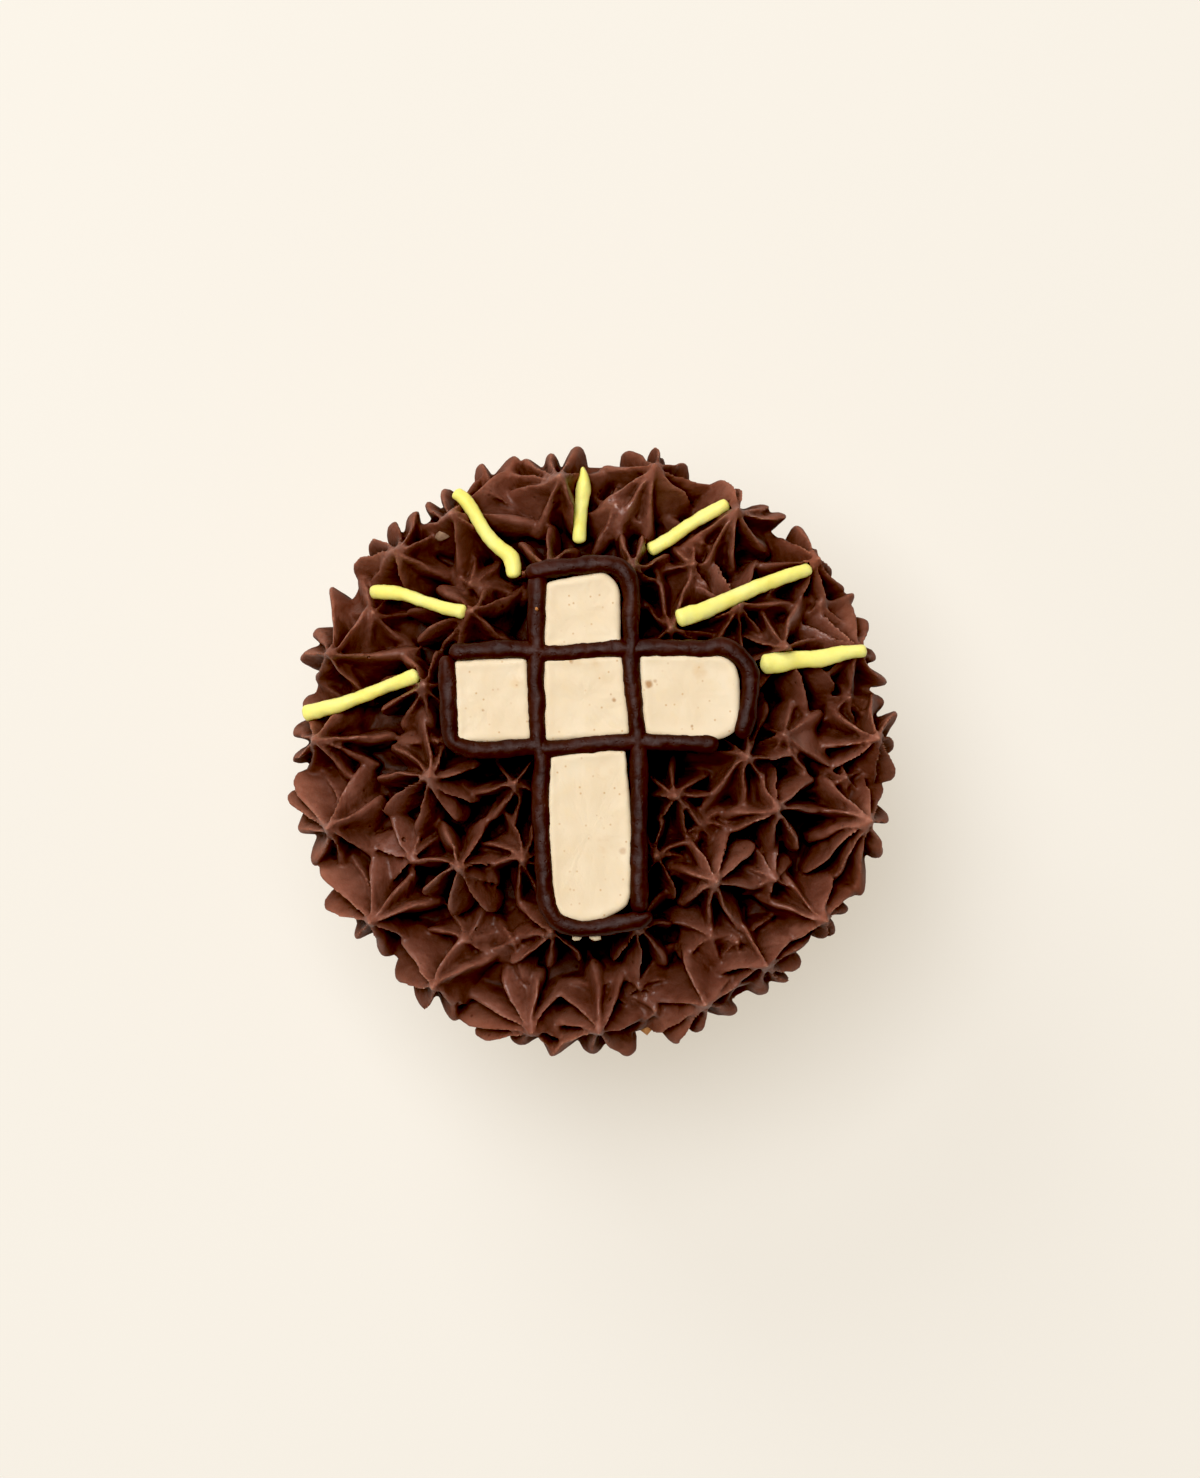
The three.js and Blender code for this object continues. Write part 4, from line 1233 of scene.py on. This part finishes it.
piece(frosting, "frosting_stars", "frosting", "frosting")
for k, ob in enumerate(sticks):
    piece(ob, "ray_%d_bead" % (k + 1), "yellow", "ray_%d" % (k + 1))
piece(outline, "cross_outline_beads", "chocolate", "cross_outline")
for ob, name in zip(cells, CELLS):
    piece(ob, name + "_cream", "cream", name)



def blob(name, px, py, z_from, size, seed, sides=14, rings=7):
    """A small rounded lump round the origin, and the plan position of that place of the photo."""
    x, y = P(px, py, z_from)
    off = Vector((seed * 5.1, seed * 2.3, seed * 7.7))
    rows = []
    for j in range(1, rings):
        el = math.pi * j / rings - math.pi / 2
        row = []
        for i in range(sides):
            a = 2 * math.pi * i / sides
            d = Vector((math.cos(el) * math.cos(a), math.cos(el) * math.sin(a), math.sin(el)))
            k = 1 + 0.28 * noise.noise(d * 1.4 + off)
            row.append((d.x * size[0] * k, d.y * size[1] * k, d.z * size[2] * k))
        rows.append(row)
    verts, faces = loft(rows, (0, 0, -size[2]), (0, 0, size[2]))
    return x, y, verts, faces


def place(name, slot, ground, px, py, z_from, size, seed, turn=0.0, sink=0.35, finish=None, z=None):
    x, y, verts, faces = blob(name, px, py, z_from, size, seed)
    if z is None:
        z = top_of(ground, x, y)
    c, s_ = math.cos(turn), math.sin(turn)
    verts = [(x + u * c - v * s_, y + u * s_ + v * c, z + w + size[2] * (1 - 2 * sink)) for u, v, w in verts]
    ob = make(name, verts, faces)
    ob.data.materials.append(MAT[finish or slot])
    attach(ob, "root")
    return ob


on_frosting, on_outline = bvh(frosting), bvh(outline)
place("crumb_flake", "sponge", on_frosting, 443, 534, 50.0, (1.05, 0.66, 0.30), 3, 0.5, 0.35, "flake")
place("crumb_speck", "sponge", on_outline, 537, 609, 58.4, (0.20, 0.26, 0.12), 5, 0.3)
# cream that has come out under the line at the foot
place("leak_left", "cream", None, 577.5, 936.3, PLAQUE_Z - 0.7, (0.62, 0.52, 0.36), 7, 0.2, 0.5, None, PLAQUE_Z - 0.7)
place("leak_right", "cream", None, 595.5, 936.6, PLAQUE_Z - 0.7, (0.72, 0.54, 0.36), 8, -0.1, 0.5, None, PLAQUE_Z - 0.7)

piece(case_mesh(), "paper_case_pleated", "paper", "paper_case")
piece(cake_mesh(), "cake_sponge_body", "sponge", "cake")

# ------------------------------------------------------------------ floor, light, camera
floor = make("floor", [(-4000, -4000, 0), (4000, -4000, 0), (4000, 4000, 0), (-4000, 4000, 0)], [(0, 1, 2, 3)])
fm = Mat("floor_paper")
tint = fm.noise(6.0, 2.0, 0.5)
fm.set(Base_Color=fm.ramp(tint, [(0.3, (0.335, 0.340, 0.345, 1)), (0.7, (0.345, 0.350, 0.355, 1))]),
       Roughness=0.9, Specular_IOR_Level=0.1,
       Emission_Color=fm.ramp(tint, [(0.3, (0.995, 0.898, 0.742, 1)), (0.7, (1.0, 0.906, 0.752, 1))]),
       Emission_Strength=0.595)
floor.data.materials.append(fm.m)

world = bpy.data.worlds.new("studio")
bpy.context.scene.world = world
world.use_nodes = True
bg = world.node_tree.nodes["Background"]
bg.inputs["Color"].default_value = (1.0, 0.975, 0.945, 1)
bg.inputs["Strength"].default_value = 0.10


def softbox(name, elevation, azimuth, distance, size, power, color):
    """A square area light aimed at the middle of the cake."""
    li = bpy.data.lights.new(name, "AREA")
    li.shape = "SQUARE"
    li.size = size
    li.energy = power
    li.color = color
    ob = bpy.data.objects.new(name, li)
    el, az = math.radians(elevation), math.radians(azimuth)
    d = Vector((math.cos(el) * math.cos(az), math.cos(el) * math.sin(az), math.sin(el)))
    ob.location = d * distance + Vector((0, 0, 0.045))
    ob.rotation_euler = d.to_track_quat("Z", "Y").to_euler()
    bpy.context.scene.collection.objects.link(ob)
    return ob


softbox("key", 75, 131, 1.35, 0.70, 15.6, (1.0, 0.985, 0.965))
softbox("side", 36, 122, 1.25, 0.55, 5.6, (1.0, 0.99, 0.975))

cam_data = bpy.data.cameras.new("camera")
cam_data.sensor_fit = "AUTO"
cam_data.sensor_width = 36.0
cam_data.lens = 36.0 * (CAM_H - RIM_Z) / (1478 * PX)
cam_data.clip_start, cam_data.clip_end = 0.01, 10.0
cam = bpy.data.objects.new("camera", cam_data)
bpy.context.scene.collection.objects.link(cam)
ax, ay = (600 - CX) * PX, (CY - 739) * PX
cam.location = (ax * MM, ay * MM, CAM_H * MM)
cam.rotation_euler = (0, 0, 0)
bpy.context.scene.camera = cam

bpy.context.scene.view_settings.view_transform = "Standard"
bpy.context.scene.view_settings.look = "None"
# deep blacks, as in a contrasty studio picture
view = bpy.context.scene.view_settings
view.use_curve_mapping = True
view.curve_mapping.black_level = (0.011, 0.011, 0.011)
view.curve_mapping.update()

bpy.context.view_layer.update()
for ob in bpy.context.scene.objects:
    if ob.type == "MESH":
        print("TRIS", ob.name, sum(len(p.vertices) - 2 for p in ob.data.polygons))
